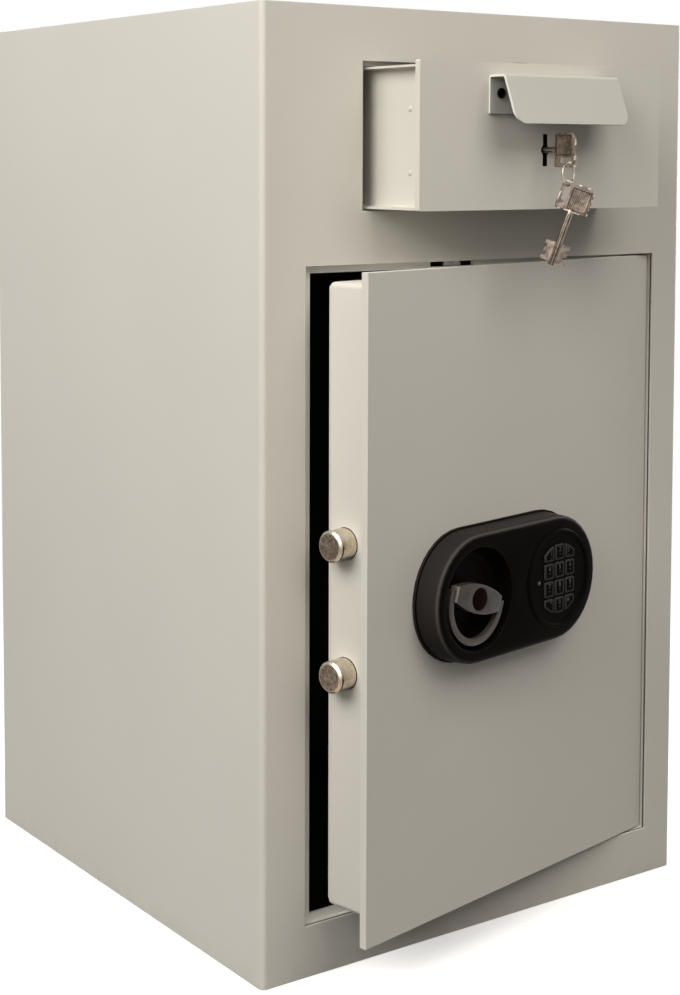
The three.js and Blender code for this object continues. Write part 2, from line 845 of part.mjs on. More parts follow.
function doorBackCover() {
  return plateXZ(boxOutline(box_fold), box_back - box_sheet, box_back);
}

// Guide behind the box's side: an angle with two holes for the bolts
function boltGuide() {
  const x0 = box_left + guide_setback;
  const front = plate_back + gap;
  const low = lock_z - bolt_offset - carrier_overlap;
  const high = lock_z + bolt_offset + carrier_overlap;
  const back = bolt_y + bolt_radius + guide_sheet;
  const upright = block(x0, x0 + guide_sheet, front, back, low, high);
  const foot = block(x0 - guide_foot, x0 + guide_sheet, front, front + guide_sheet, low, high);
  const holes = boltHeights().map((z) =>
    rod(bolt_radius + slide_clearance, guide_sheet + 2 * overrun, "x", [x0 - overrun, bolt_y, z], fine_sides),
  );
  return cut(join([upright, foot]), holes);
}

// Thrown bolt: turned bar with a chamfered end and a tenon that holds the carrier
function lockBolt(z) {
  const profile = [
    [0, 0],
    [bolt_radius - bolt_chamfer, 0],
    [bolt_radius, bolt_chamfer],
    [bolt_radius, bolt_body_length],
    [tenon_radius, bolt_body_length],
    [tenon_radius, bolt_body_length + tenon_length],
    [0, bolt_body_length + tenon_length],
  ];
  return turned(profile, "x", [bolt_tip, bolt_y, z]);
}

// Levels of the crank, its pin and the carrier's yoke behind the plate
const crank_front = plate_back + crank_behind;
const yoke_front = crank_front + crank_thick + 2 * gap;

function crankPin() {
  const reach = crank_radius * Math.SQRT1_2;
  return [handle_x - reach, lock_z + reach];
}

// Carrier: an upright bar on both tenons, with a slotted yoke for the crank pin
function boltCarrier() {
  const x0 = bolt_shoulder + gap;
  const low = lock_z - bolt_offset - carrier_overlap;
  const high = lock_z + bolt_offset + carrier_overlap;
  const bar = block(x0, x0 + carrier_thick, bolt_y - carrier_width / 2, bolt_y + carrier_width / 2, low, high);
  const [pin_x, pin_z] = crankPin();
  const slot_half = crank_pin_radius + slide_clearance + gap;
  const yoke_end = pin_x + slot_half + crank_eye;
  const slot_low = pin_z - slot_half;
  const slot_high = lock_z + crank_radius + slot_half;
  const yoke = block(x0, yoke_end, yoke_front, yoke_front + crank_thick, slot_low - crank_eye, slot_high + crank_eye);
  const slot = block(
    pin_x - slot_half,
    pin_x + slot_half,
    yoke_front - overrun,
    yoke_front + crank_thick + overrun,
    slot_low,
    slot_high,
  );
  const holes = boltHeights().map((z) =>
    rod(tenon_radius + gap, carrier_thick + 2 * overrun, "x", [x0 - overrun, bolt_y, z]),
  );
  return cut(join([bar, yoke]), [slot, ...holes]);
}

// Lock housing: a moulded oblong, stepped rim, drafted side, rounded edge, with a bowl and a keypad pocket
function stadiumRing(radius, level) {
  const points = [];
  const steps = 3 * arc_steps;
  for (const [centre, start] of [
    [lock_x + housing_half, -Math.PI / 2],
    [lock_x - housing_half, Math.PI / 2],
  ]) {
    for (let k = 0; k <= steps; k += 1) {
      const angle = start + (Math.PI * k) / steps;
      points.push(
        new THREE.Vector3(centre + radius * Math.cos(angle), out(level), lock_z + radius * Math.sin(angle)),
      );
    }
  }
  return points;
}

function bowlCutter() {
  const mouth = housing_depth - bowl_edge_round;
  const curve = new THREE.EllipseCurve(
    bowl_floor_radius,
    mouth,
    bowl_radius - bowl_floor_radius,
    mouth - bowl_floor,
    -Math.PI / 2,
    0,
  );
  const profile = [[0, bowl_floor]];
  for (const p of curve.getPoints(arc_steps)) {
    profile.push([p.x, p.y]);
  }
  const edge = new THREE.EllipseCurve(
    bowl_radius + bowl_edge_round,
    mouth,
    bowl_edge_round,
    bowl_edge_round,
    Math.PI,
    Math.PI / 2,
    true,
  );
  for (const p of edge.getPoints(arc_steps / 2).slice(1)) {
    profile.push([p.x, p.y]);
  }
  profile.push([bowl_radius + bowl_edge_round, housing_depth + overrun], [0, housing_depth + overrun]);
  return outward(profile, [handle_x, lock_z]);
}

// A profile of radius and level out of the door, turned about an axis through the door
function outward(profile, [x, z], sides = fine_sides) {
  const geometry = turned(profile, "y", [0, 0, 0], sides);
  geometry.rotateZ(Math.PI);
  return geometry.translate(x, plate_front, z);
}

function lockHousing() {
  const wall_radius = housing_radius - rim_step;
  const edge_radius = wall_radius - side_draft;
  const rings = [
    [housing_radius, gap],
    [housing_radius, rim_depth],
    [wall_radius, rim_depth + gap],
    [edge_radius, housing_depth - front_round],
  ];
  for (let k = 1; k <= round_steps; k += 1) {
    const angle = (k / round_steps) * (Math.PI / 2);
    rings.push([
      edge_radius - front_round * (1 - Math.cos(angle)),
      housing_depth - front_round * (1 - Math.sin(angle)),
    ]);
  }
  const body = loft(rings.map(([radius, level]) => stadiumRing(radius, level)));
  const pocket = rod(
    keypad_radius + gap,
    keypad_thick + gap + overrun,
    "y",
    [keypad_x, out(housing_depth + overrun), lock_z],
    fine_sides,
  );
  const spindle = rod(spindle_radius + gap, housing_depth, "y", [handle_x, out(housing_depth), lock_z]);
  return cut(body, [bowlCutter(), pocket, spindle]);
}

// Keypad: a disc with a raised ring, holes for the keys and the lamp
const keypad_back = housing_depth - keypad_thick;
const keypad_face = housing_depth;

function keyPlaces() {
  const places = [];
  for (let row = 0; row < key_rows; row += 1) {
    for (let column = 0; column < key_columns; column += 1) {
      const x = keypad_x + (column - (key_columns - 1) / 2) * key_pitch_x;
      const z = lock_z + ((key_rows - 1) / 2 - row) * key_pitch_z;
      places.push([x, z]);
    }
  }
  return places;
}

function keyBlock([x, z], level0, level1, growth) {
  const shape = roundedOutline(
    x - key_width / 2 - growth,
    x + key_width / 2 + growth,
    z - key_height / 2 - growth,
    z + key_height / 2 + growth,
    key_corner + growth,
  );
  const cap = plateXZ(shape, out(level1), out(level0), 2);
  const field = rod(
    key_field_radius + growth,
    level1 - level0 + 2 * overrun,
    "y",
    [keypad_x, out(level1 + overrun), lock_z],
    fine_sides,
  );
  return common(cap, field);
}

function lampPlace() {
  return [
    keypad_x + lamp_distance * Math.cos(lamp_angle),
    lock_z + lamp_distance * Math.sin(lamp_angle),
  ];
}

function keypadDisc() {
  const crest = keypad_face + keypad_ring_rise;
  const slope = (keypad_radius - keypad_ring_radius) / 3;
  const profile = [
    [0, keypad_back],
    [keypad_radius, keypad_back],
    [keypad_radius, crest - slope],
    [keypad_radius - slope, crest],
    [keypad_ring_radius + slope, crest],
    [keypad_ring_radius, keypad_face],
    [0, keypad_face],
  ];
  const disc = outward(profile, [keypad_x, lock_z]);
  const [x, z] = lampPlace();
  const lamp_hole = rod(lamp_radius + gap, housing_depth, "y", [x, out(keypad_face + overrun), z]);
  const holes = keyPlaces().map((place) => keyBlock(place, keypad_back - overrun, keypad_face + overrun, gap));
  return cut(disc, [lamp_hole, ...holes]);
}

function statusLamp() {
  const [x, z] = lampPlace();
  const top = keypad_face + lamp_rise;
  const profile = [
    [0, top - lamp_length],
    [lamp_radius, top - lamp_length],
    [lamp_radius, keypad_face],
    [lamp_radius * Math.SQRT1_2, top - lamp_rise / 4],
    [0, top],
  ];
  return outward(profile, [x, z], plain_sides);
}

// Grip: a bar with bowed edges on a round hub, drawn about the spindle's axis
function gripBar() {
  const shape = new THREE.Shape();
  const end = grip_end_high / 2 - grip_bevel;
  const top = grip_high / 2 - grip_bevel;
  const half = grip_half - grip_bevel;
  const steps = 2 * arc_steps;
  const bow = (t) => end + (top - end) * (1 - t * t);
  for (let k = 0; k <= steps; k += 1) {
    const t = k / arc_steps - 1;
    if (k) shape.lineTo(half * t, -bow(t));
    else shape.moveTo(half * t, -bow(t));
  }
  for (let k = steps; k >= 0; k -= 1) {
    const t = k / arc_steps - 1;
    shape.lineTo(half * t, bow(t));
  }
  const bar = new THREE.ExtrudeGeometry(shape, {
    depth: grip_thick - 2 * grip_bevel,
    bevelThickness: grip_bevel,
    bevelSize: grip_bevel,
    bevelSegments: 2,
  });
  bar.applyMatrix4(
    new THREE.Matrix4().makeBasis(
      new THREE.Vector3(1, 0, 0),
      new THREE.Vector3(0, 0, 1),
      new THREE.Vector3(0, -1, 0),
    ),
  );
  bar.translate(0, out(grip_low_level + grip_bevel), 0);
  const front = grip_low_level + grip_thick;
  const hub = rod(hub_radius, front - overrun - bowl_floor - gap, "y", [0, out(front - overrun), 0]);
  const socket = rod(spindle_radius + gap, grip_low_level - bowl_floor, "y", [0, out(grip_low_level), 0]);
  const seat = rod(cap_radius + gap, cap_thick, "y", [0, out(front + gap), 0], fine_sides);
  const level = grip_low_level + grip_thick / 2;
  const pivot = rod(
    pull_pin_radius + gap,
    2 * (grip_half + overrun),
    "x",
    [-grip_half - overrun, out(level), 0],
  );
  const core = block(
    -grip_half + pull_pin_length + overrun,
    grip_half - pull_pin_length - overrun,
    out(front),
    out(grip_low_level),
    -hub_radius,
    hub_radius,
  );
  const pin_holes = toGeometry(toSolid(pivot).subtract(toSolid(core)));
  return cut(join([bar, hub]), [socket, seat, pin_holes]);
}

function hubCap() {
  const front = grip_low_level + grip_thick;
  const low = front + gap - cap_thick + gap;
  const profile = [
    [0, low],
    [cap_radius, low],
    [cap_radius, front + gap],
    [cap_radius - cap_thick / 2, low + cap_thick],
    [0, low + cap_thick],
  ];
  return outward(profile, [0, 0]);
}

// Fold-out ring: a half hoop hinged in the ends of the grip
function pullRing() {
  const arc_z = pull_outer - pull_drop;
  const shape = new THREE.Shape();
  const inner = pull_outer - pull_band;
  const top = pull_band / 2;
  shape.moveTo(-pull_outer, top);
  shape.lineTo(-pull_outer, arc_z);
  shape.absarc(0, arc_z, pull_outer, Math.PI, 2 * Math.PI);
  shape.lineTo(pull_outer, top);
  shape.lineTo(inner, top);
  shape.lineTo(inner, arc_z);
  shape.absarc(0, arc_z, inner, 2 * Math.PI, Math.PI, true);
  shape.lineTo(-inner, top);
  shape.closePath();
  const level = grip_low_level + grip_thick / 2;
  const hoop = plateXZ(shape, out(level + pull_thick / 2), out(level - pull_thick / 2), 3 * arc_steps);
  const pins = [-1, 1].map((side) => {
    const from = side > 0 ? inner - pull_pin_length : -inner - overrun;
    return rod(pull_pin_radius, pull_pin_length + overrun, "x", [from, out(level), 0]);
  });
  return join([hoop, ...pins]);
}

// Spindle from the grip's hub to the crank that moves the bolts
function handleSpindle() {
  const start = out(grip_low_level - gap);
  const shaft = rod(spindle_radius, crank_front + crank_thick - start, "y", [handle_x, start, lock_z]);
  const [pin_x, pin_z] = crankPin();
  const eye = rod(crank_eye, crank_thick, "y", [handle_x, crank_front, lock_z]);
  const far_eye = rod(crank_eye, crank_thick, "y", [pin_x, crank_front, pin_z]);
  const web = block(-crank_eye, crank_eye, crank_front, crank_front + crank_thick, 0, crank_radius);
  web.rotateY(-Math.PI / 4);
  web.translate(handle_x, 0, lock_z);
  const pin_length = 2 * crank_thick + 2 * gap;
  const pin = rod(crank_pin_radius, pin_length, "y", [pin_x, crank_front, pin_z]);
  return join([shaft, eye, far_eye, web, pin]);
}

function electronicLock() {
  const x0 = lock_x + unit_offset - unit_width / 2 + unit_corner;
  const shape = roundedOutline(
    x0,
    x0 + unit_width,
    lock_z - unit_height / 2,
    lock_z + unit_height / 2,
    unit_corner,
  );
  return plateXZ(shape, plate_back + gap, plate_back + gap + unit_depth);
}

// Drawer front: a flat plate with the keyhole and two screw holes
function screwPlaces() {
  const z = handle_low + screw_rise;
  return [
    [-screw_spread / 2, z],
    [screw_spread / 2, z],
  ];
}

function drawerFront() {
  const plate = plateXZ(
    roundedOutline(-front_half, front_half, front_low, front_high, front_corner),
    drawer_face,
    drawer_back,
    2,
  );
  const through = front_thick + 2 * overrun;
  const slot = block(
    -keyhole_slot_wide / 2,
    keyhole_slot_wide / 2,
    drawer_face - overrun,
    drawer_back + overrun,
    keyhole_z - keyhole_slot_half,
    keyhole_z + keyhole_slot_half,
  );
  const round = rod(keyhole_round, through, "y", [0, drawer_face - overrun, keyhole_z]);
  const holes = screwPlaces().map(([x, z]) =>
    rod(screw_radius + gap, through, "y", [x, drawer_face - overrun, z]),
  );
  return cut(plate, [slot, round, ...holes]);
}

// Tray: two side walls with outward flanges, a short fixed floor, a rear wall and two front tabs
function drawerTray() {
  const half_sheet = tray_sheet / 2;
  const walls = [-1, 1].map((side) => {
    const corners = [
      [side * tray_flange_half, tray_high - half_sheet],
      [side * tray_half, tray_high - half_sheet],
      [side * tray_half, tray_low + half_sheet],
      [side * tray_flange_half, tray_low + half_sheet],
    ];
    return plateXZ(bentSheet(corners, tray_sheet, bend_radius), tray_front, tray_back);
  });
  const floor = block(
    -tray_half,
    tray_half,
    tray_front,
    tray_front + tray_floor_length,
    tray_floor,
    tray_floor + tray_sheet,
  );
  const rear_low = tray_floor + tray_sheet + gap;
  const rear = block(-tray_half, tray_half, tray_back - tray_sheet, tray_back, rear_low, tray_high - tray_sheet);
  const tabs = [-1, 1].map((side) => {
    const [x0, x1] = [side * tray_half, side * (tray_inside - tab_width)].sort((a, b) => a - b);
    return block(x0, x1, tray_front, tray_front + tray_sheet, tray_low + tab_margin, tray_high - tab_margin);
  });
  const rod_hole = rod(
    rod_radius + gap,
    2 * (tray_half + tray_sheet),
    "x",
    [-tray_half - tray_sheet, rod_y, rod_z],
  );
  const bolt_y0 = tray_front + lock_bolt_behind;
  const bolt_slot = block(
    -lock_bolt_wide / 2 - slide_clearance,
    lock_bolt_wide / 2 + slide_clearance,
    bolt_y0 - slide_clearance,
    bolt_y0 + lock_bolt_thick + slide_clearance,
    tray_floor - overrun,
    tray_floor + tray_sheet + overrun,
  );
  return cut(join([...walls, floor, rear, ...tabs]), [rod_hole, bolt_slot]);
}

// Drop flap: the rear part of the floor, its front edge rolled round a rod
function dropFlap() {
  const half = tray_inside - 2 * gap;
  const sheet = block(-half, half, rod_y, tray_back, tray_floor, tray_floor + tray_sheet);
  const barrel = rod(barrel_radius, 2 * half, "x", [-half, rod_y, rod_z]);
  const bore = rod(
    rod_radius + running_clearance,
    2 * (half + overrun),
    "x",
    [-half - overrun, rod_y, rod_z],
  );
  return cut(join([sheet, barrel]), [bore]);
}

function flapRod() {
  const half = tray_half + tray_sheet / 2 + rod_overhang;
  return rod(rod_radius, 2 * half, "x", [-half, rod_y, rod_z]);
}

// Handle: one bent sheet, its hanging lip with rounded lower corners
function drawerHandle() {
  const half_sheet = handle_sheet / 2;
  const leg_y = drawer_face - gap - half_sheet;
  const corners = [
    [leg_y, handle_low],
    [leg_y, handle_high - half_sheet],
    [drawer_face - handle_reach, handle_high - half_sheet],
    [drawer_face - lip_out, lip_low],
  ];
  const bent = plateYZ(bentSheet(corners, handle_sheet, bend_radius), -handle_half, handle_half);
  const trim = roundedOutline(-handle_half, handle_half, lip_low, handle_high + lip_corner, lip_corner);
  const slab = plateXZ(trim, drawer_face - lip_out - overrun, drawer_face);
  const holes = screwPlaces().map(([x, z]) =>
    rod(screw_radius + gap, 2 * handle_sheet, "y", [x, leg_y - handle_sheet, z]),
  );
  return cut(common(bent, slab), holes);
}

function handleScrew([x, z]) {
  const level = gap + handle_sheet + gap;
  const end = -front_thick - overrun;
  const profile = [
    [0, end],
    [screw_radius, end],
    [screw_radius, level],
    [screw_head_radius, level],
    [screw_head_radius, level + screw_head_high / 2],
    [screw_head_radius * Math.SQRT1_2, level + screw_head_high * 0.85],
    [0, level + screw_head_high],
  ];
  const geometry = turned(profile, "y", [0, 0, 0], plain_sides);
  geometry.rotateZ(Math.PI);
  return geometry.translate(x, drawer_face, z);
}

// Drawer lock: a case with a round chamber for the key's bits and a bolt through its floor
function drawerLockCase() {
  const back = tray_front + lock_case_depth;
  const top = lock_case_low + lock_case_tall;
  const body = block(-lock_case_half, lock_case_half, tray_front, back, lock_case_low, top);
  const chamber = rod(
    lock_chamber,
    lock_chamber_depth - lock_face_thick,
    "y",
    [0, tray_front + lock_face_thick, keyhole_z],
    fine_sides,
  );
  const entry = rod(
    key_stem_radius + gap,
    lock_face_thick + 2 * overrun,
    "y",
    [0, tray_front - overrun, keyhole_z],
  );
  const bit_slot = block(
    -key_bit_thick / 2 - gap,
    key_bit_thick / 2 + gap,
    tray_front - overrun,
    tray_front + lock_face_thick + overrun,
    keyhole_z - key_bit_half - gap,
    keyhole_z + key_bit_half + gap,
  );
  const bolt_y0 = tray_front + lock_bolt_behind;
  const guide = block(
    -lock_bolt_wide / 2 - slide_clearance,
    lock_bolt_wide / 2 + slide_clearance,
    bolt_y0 - slide_clearance,
    bolt_y0 + lock_bolt_thick + slide_clearance,
    lock_case_low - overrun,
    keyhole_z - lock_chamber / 2,
  );
  return cut(body, [chamber, entry, bit_slot, guide]);
}

function drawerLockBolt() {
  const half = lock_bolt_wide / 2;
  const y0 = tray_front + lock_bolt_behind;
  return block(-half, half, y0, y0 + lock_bolt_thick, lock_bolt_low, lock_bolt_low + lock_bolt_tall);
}

// Outline of a key's bow in Y and Z: its shoulder on zero, the outer edge notched like saw teeth
function keyBowOutline() {
  const half = key_bow_high / 2;
  const back = -key_bow_length;
  const corner = key_bow_corner;
  const teeth = key_notch_shares.flatMap((share) => [
    [back, share * half],
    [back + key_notch, share * half],
    [back, share * half - key_notch],
  ]);
  return [
    [0, -half + corner],
    [0, half - corner],
    [-corner, half],
    [back + key_bow_chamfer, half],
    [back, half - key_bow_chamfer],
    ...teeth,
    [back, -half + corner],
    [back + corner, -half],
    [-corner, -half],
  ];
}

// Slot near the bow's lower side that the split ring hangs in
function keyRingSlot() {
  const outer = -key_bow_length / 2 - key_hole_out;
  const slot = new THREE.Path();
  slot.absarc(outer, -key_hole_down, key_hole_radius, Math.PI * 1.5, Math.PI / 2, true);
  slot.absarc(outer + key_hole_run, -key_hole_down, key_hole_radius, Math.PI / 2, -Math.PI / 2, true);
  slot.closePath();
  return slot;
}

// Sunk panel on one face of the bow, between its border and the slot
function keyPanel(side) {
  const half = key_bow_high / 2;
  const back = -key_bow_length + key_notch + key_border;
  const low = -key_hole_down + key_hole_radius + key_border;
  const cut_corner = key_bow_chamfer / 2;
  const shape = outlineOf([
    [-key_border, low],
    [-key_border, half - key_border],
    [back + cut_corner, half - key_border],
    [back, half - key_border - cut_corner],
    [back, low],
  ]);
  const face = (side * key_bow_thick) / 2;
  const [x0, x1] = [face - side * key_panel_depth, face + side * overrun].sort((a, b) => a - b);
  return plateYZ(shape, x0, x1);
}

// Double-bitted key: stem along +Y from the bow's shoulder, flat bow with a slot, stepped bits
function safeKey() {
  const bow_shape = outlineOf(keyBowOutline());
  bow_shape.holes.push(keyRingSlot());
  const bow = plateYZ(bow_shape, -key_bow_thick / 2, key_bow_thick / 2, 4);
  const sunk = cut(bow, [keyPanel(-1), keyPanel(1)]);
  const stem = rod(key_stem_radius, key_stem_length + key_border, "y", [0, -key_border, 0]);
  const bit_back = key_stem_length - key_bit_end;
  const bit_front = bit_back - key_bit_length;
  const step = key_bit_length / 5;
  const bit_share = [1, 0.8, 0.94, 0.72, 1];
  const wards = bit_share.map((share, i) => {
    const y = bit_front + step * i;
    const reach = key_bit_half * share;
    const thick = key_bit_thick / 2;
    return block(-thick, thick, y, y + step, -reach, reach);
  });
  return join([sunk, stem, ...wards]);
}

function splitRing() {
  const profile = [];
  const sides = plain_sides / 3;
  for (let k = 0; k <= sides; k += 1) {
    const angle = (2 * Math.PI * k) / sides;
    profile.push([ring_radius + ring_wire * Math.cos(angle), ring_wire * Math.sin(angle)]);
  }
  return turned(profile, "y", [0, 0, 0]);
}

// Key ring places, in the drawer's own frame
const key_shoulder = drawer_face - key_bow_front;
const key_hole_y = key_shoulder - key_bow_length / 2 - key_ring_out;
const key_hole_z = keyhole_z - key_hole_down;
const ring_top = key_hole_z - key_hole_radius + ring_wire + ring_hang;
const ring_bottom = ring_top - 2 * ring_radius;
const spare_hole_z = ring_bottom - key_hole_radius + ring_wire + ring_hang;

// The spare key hangs by its bow's hole: its stem points down and aside, its bow faces forward
function placeSpareKey(mesh) {
  const across = new THREE.Vector3(Math.cos(spare_turn), Math.sin(spare_turn), 0);
  const up = new THREE.Vector3(0, 0, 1);
  const stem = across.clone().multiplyScalar(-Math.sin(spare_tilt)).addScaledVector(up, -Math.cos(spare_tilt));
  const side = across.clone().multiplyScalar(Math.cos(spare_tilt)).addScaledVector(up, -Math.sin(spare_tilt));
  const facing = stem.clone().cross(side);
  mesh.quaternion.setFromRotationMatrix(new THREE.Matrix4().makeBasis(facing, stem, side));
  const hole = new THREE.Vector3(0, -key_bow_length / 2 - key_hole_out, -key_hole_down);
  const from = hole.applyQuaternion(mesh.quaternion);
  mesh.position.set(-from.x, key_hole_y - from.y, spare_hole_z - from.z);
}

// Assembly: cabinet
piece("cabinet_wrap", cabinetWrap(), paint);
piece("top_panel", flatPanel(cabinet_height - wall), paint);
piece("base_panel", basePanel(), inner_paint);
piece("back_panel", backPanel(), paint);
plugPlaces().forEach((x, i) => piece(`anchor_plug_${i + 1}`, anchorPlug(x), black_moulding));
piece("door_frame", doorFrame(), paint);
piece("door_keep", doorKeep(), bright_steel);
piece("hinge_leaf_upper", hingeLeaf(1), zinc);
piece("hinge_leaf_lower", hingeLeaf(-1), zinc);
piece("drawer_surround", drawerSurround(), paint);
piece("drawer_runner_left", drawerRunner(-1), zinc);
piece("drawer_runner_right", drawerRunner(1), zinc);
piece("fishing_baffle", fishingBaffle(), zinc);

// Door with its boltwork box, boltwork and lock
piece("door_plate", doorPlate(), paint, door);
piece("door_box", doorBox(), paint, door);
piece("door_back_cover", doorBackCover(), paint, door);
piece("hinge_lug_upper", hingeLug(1), zinc, door);
piece("hinge_lug_lower", hingeLug(-1), zinc, door);
piece("thrust_washer_upper", thrustWasher(1), bright_steel, door);
piece("thrust_washer_lower", thrustWasher(-1), bright_steel, door);
piece("bolt_guide", boltGuide(), zinc, door);
piece("electronic_lock", electronicLock(), zinc, door);
const [upper_z, lower_z] = boltHeights();
piece("lock_bolt_upper", lockBolt(upper_z), nickel, door);
piece("lock_bolt_lower", lockBolt(lower_z), nickel, door);
piece("bolt_carrier", boltCarrier(), zinc, door);
piece("lock_housing", lockHousing(), black_moulding, door);
piece("keypad_disc", keypadDisc(), black_moulding, door);
piece("status_lamp", statusLamp(), lamp_lens, door);
keyPlaces().forEach((place, i) => {
  const top = keypad_face + key_rise;
  const cap = keyBlock(place, top - key_depth, top, 0);
  piece(`keypad_key_${String(i + 1).padStart(2, "0")}`, cap, key_rubber, door);
});
piece("grip_bar", gripBar(), grey_moulding, handle);
piece("hub_cap", hubCap(), black_moulding, handle);
piece("pull_ring", pullRing(), grey_moulding, handle);
piece("handle_spindle", handleSpindle(), bright_steel, door);

// Drawer
piece("drawer_front", drawerFront(), paint, drawer);
piece("drawer_tray", drawerTray(), paint, drawer);
piece("drop_flap", dropFlap(), paint, drawer);
piece("flap_rod", flapRod(), bright_steel, drawer);
piece("drawer_handle", drawerHandle(), paint, drawer);
screwPlaces().forEach((place, i) => piece(`handle_screw_${i + 1}`, handleScrew(place), bright_steel, drawer));
piece("drawer_lock_case", drawerLockCase(), zinc, drawer);
piece("drawer_lock_bolt", drawerLockBolt(), bright_steel, drawer);
const drawer_key = piece("drawer_key", safeKey(), nickel, drawer);
drawer_key.position.set(0, key_shoulder, keyhole_z);
const ring = piece("split_ring", splitRing(), nickel, drawer);
ring.position.set(0, key_hole_y, ring_top - ring_radius);
ring.rotation.z = ring_turn;
placeSpareKey(piece("spare_key", safeKey(), nickel, drawer));

export default safe;
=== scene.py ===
"""Looks of the drop safe with a deposit drawer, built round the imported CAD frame.

Metres, x right, y into the safe, z up; the origin is the middle of the cabinet's base on the floor.
Every pattern is drawn on Object coordinates, so it stays on its piece in every pose.
"""

import math

import bpy
import numpy as np
from mathutils import Matrix, Vector


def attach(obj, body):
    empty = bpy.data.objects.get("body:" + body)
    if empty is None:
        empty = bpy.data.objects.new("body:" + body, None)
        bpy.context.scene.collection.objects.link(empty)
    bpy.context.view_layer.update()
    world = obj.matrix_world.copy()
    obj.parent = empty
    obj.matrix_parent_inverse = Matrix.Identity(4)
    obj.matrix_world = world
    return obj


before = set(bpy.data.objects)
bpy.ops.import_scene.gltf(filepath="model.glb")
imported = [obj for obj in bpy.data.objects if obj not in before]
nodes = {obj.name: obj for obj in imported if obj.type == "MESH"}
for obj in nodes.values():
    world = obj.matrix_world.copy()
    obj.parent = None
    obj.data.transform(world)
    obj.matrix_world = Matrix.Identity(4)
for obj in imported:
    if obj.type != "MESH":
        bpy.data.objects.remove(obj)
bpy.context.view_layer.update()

MM = 0.001

# Camera, fitted to the photograph's edges
CAMERA_PLACE = (-0.8699, -1.2369, 0.5756)
CAMERA_YAW = math.radians(-35.527)
CAMERA_PITCH = math.radians(-3.993)
CAMERA_ROLL = math.radians(-0.147)
CAMERA_LENS = 66.36
CAMERA_SHIFT = (0.0, -0.2136)

# Floor: its half width, and how far out it starts and ends to fade into the backdrop
FLOOR_REACH = 12.0
FLOOR_FADE = (0.35, 1.1)

# Half width, half depth and upper level of the room inside the cabinet's walls
INSIDE = (0.1965, 0.2035, 0.6785)

# A half size that is larger than the safe, for the axis that a box in a pattern leaves out
FAR = 1.0

# Door: its hinge axis and its turn at rest, and its faces and boltwork box as if it were shut
HINGE = (0.14784, -0.1930, 0.0)
DOOR_TURN = math.radians(11)
DOOR_FACE_Y = -0.2045
DOOR_BACK_Y = -0.1985
BOX_LEFT = -0.150856

# Lock on the shut door: the level of its middle, its handle's axis, bowl and grip bar, and its keypad
LOCK_Z = 0.26745
HANDLE_X = -0.065856
BOWL_RADIUS = 0.0372
GRIP_TURN = math.radians(17)
GRIP_REACH = 0.0243
KEYPAD_X = 0.024944
KEY_PITCH = (0.0124, 0.0131)
KEY_HALF = (0.0051, 0.0056)
KEY_FIELD = 0.0258
KEY_TOP_LEVEL = 0.0227

# Print on the keys: its size, line spacing and half thickness, its rise above the key and above the middle,
# and how far the corner keys' print moves inwards
PRINT_SIZE = 0.0050
PRINT_LINES = 0.62
PRINT_HALF_THICK = 0.00003
PRINT_LIFT = 0.00005
PRINT_RISE = 0.0006
PRINT_INWARD = 0.0020

# Bolts on the shut door: their length out of the box, axes, chamfer and end face
BOLT_LENGTH = 0.016
BOLT_TIP = BOX_LEFT - BOLT_LENGTH
BOLT_AXIS_Y = -0.1765
BOLT_OFFSET = 0.045
BOLT_CHAMFER = 0.0016
BOLT_END_RADIUS = 0.0094

# Drawer's keyhole: its level, its slot's half width and half height, and its round middle's radius
KEYHOLE_Z = 0.5807
KEYHOLE_SLOT = (0.0019, 0.0112)
KEYHOLE_RADIUS = 0.0036

# Keys: the middle and half size, along the stem and across it, of the bow and of its hatched panel, the
# half width of the stem, and the spacing of the hatching and of the flutes
KEY_BOW = ((-0.0100, 0.0, 0.0), (0.0100, 0.0118, FAR))
KEY_PANEL = ((-0.0092, 0.0033, 0.0), (0.0075, 0.0067, FAR))
KEY_STEM_HALF = 0.0024
KEY_HATCH = 0.0019
KEY_FLUTE = 0.0018

# Where the keys sit: the bow's shoulder on the stem's axis, the stem's direction and the bow's long side
KEY_IN_LOCK = ((0.0, -0.2777, KEYHOLE_Z), (0.0, 1.0, 0.0), (0.0, 0.0, 1.0))
SPARE_TURN = math.radians(-35.5)
SPARE_TILT = math.radians(20)
SPARE_ACROSS = Vector((math.cos(SPARE_TURN), math.sin(SPARE_TURN), 0.0))
UP = Vector((0.0, 0.0, 1.0))
KEY_HANGING = (
    (0.001317, -0.29184, 0.53781),
    -math.sin(SPARE_TILT) * SPARE_ACROSS - math.cos(SPARE_TILT) * UP,
    math.cos(SPARE_TILT) * SPARE_ACROSS - math.sin(SPARE_TILT) * UP,
)

# Weld stitches: their lower and upper ends, their section, how it is set in the corner, and their ripples
BEAD_ENDS = ((0.075, 0.097), (0.180, 0.204), (0.330, 0.352), (0.430, 0.452))
BEAD_SECTION = (0.0016, 0.0013)
BEAD_SET_IN = (-0.0002, 0.0003)
BEAD_RIPPLE = 0.003

# Weld spatter: the levels of its balls, their radius and how they are set in the corner
SPATTER_LEVELS = (0.2397, 0.2218, 0.1717, 0.1662)
SPATTER_RADIUS = 0.0009
SPATTER_SET_IN = (-0.0004, 0.0006)

# Weld marks on the drawer's side walls: their place and levels
MARK_PLACE = (0.101, -0.242)
MARK_LEVELS = (0.6085, 0.5648)

# CAD nodes: the gap that joins their loose triangles, and the rounding of folded sheet
JOIN_GAP = 0.00001
FOLD_ROUNDING = 0.0005

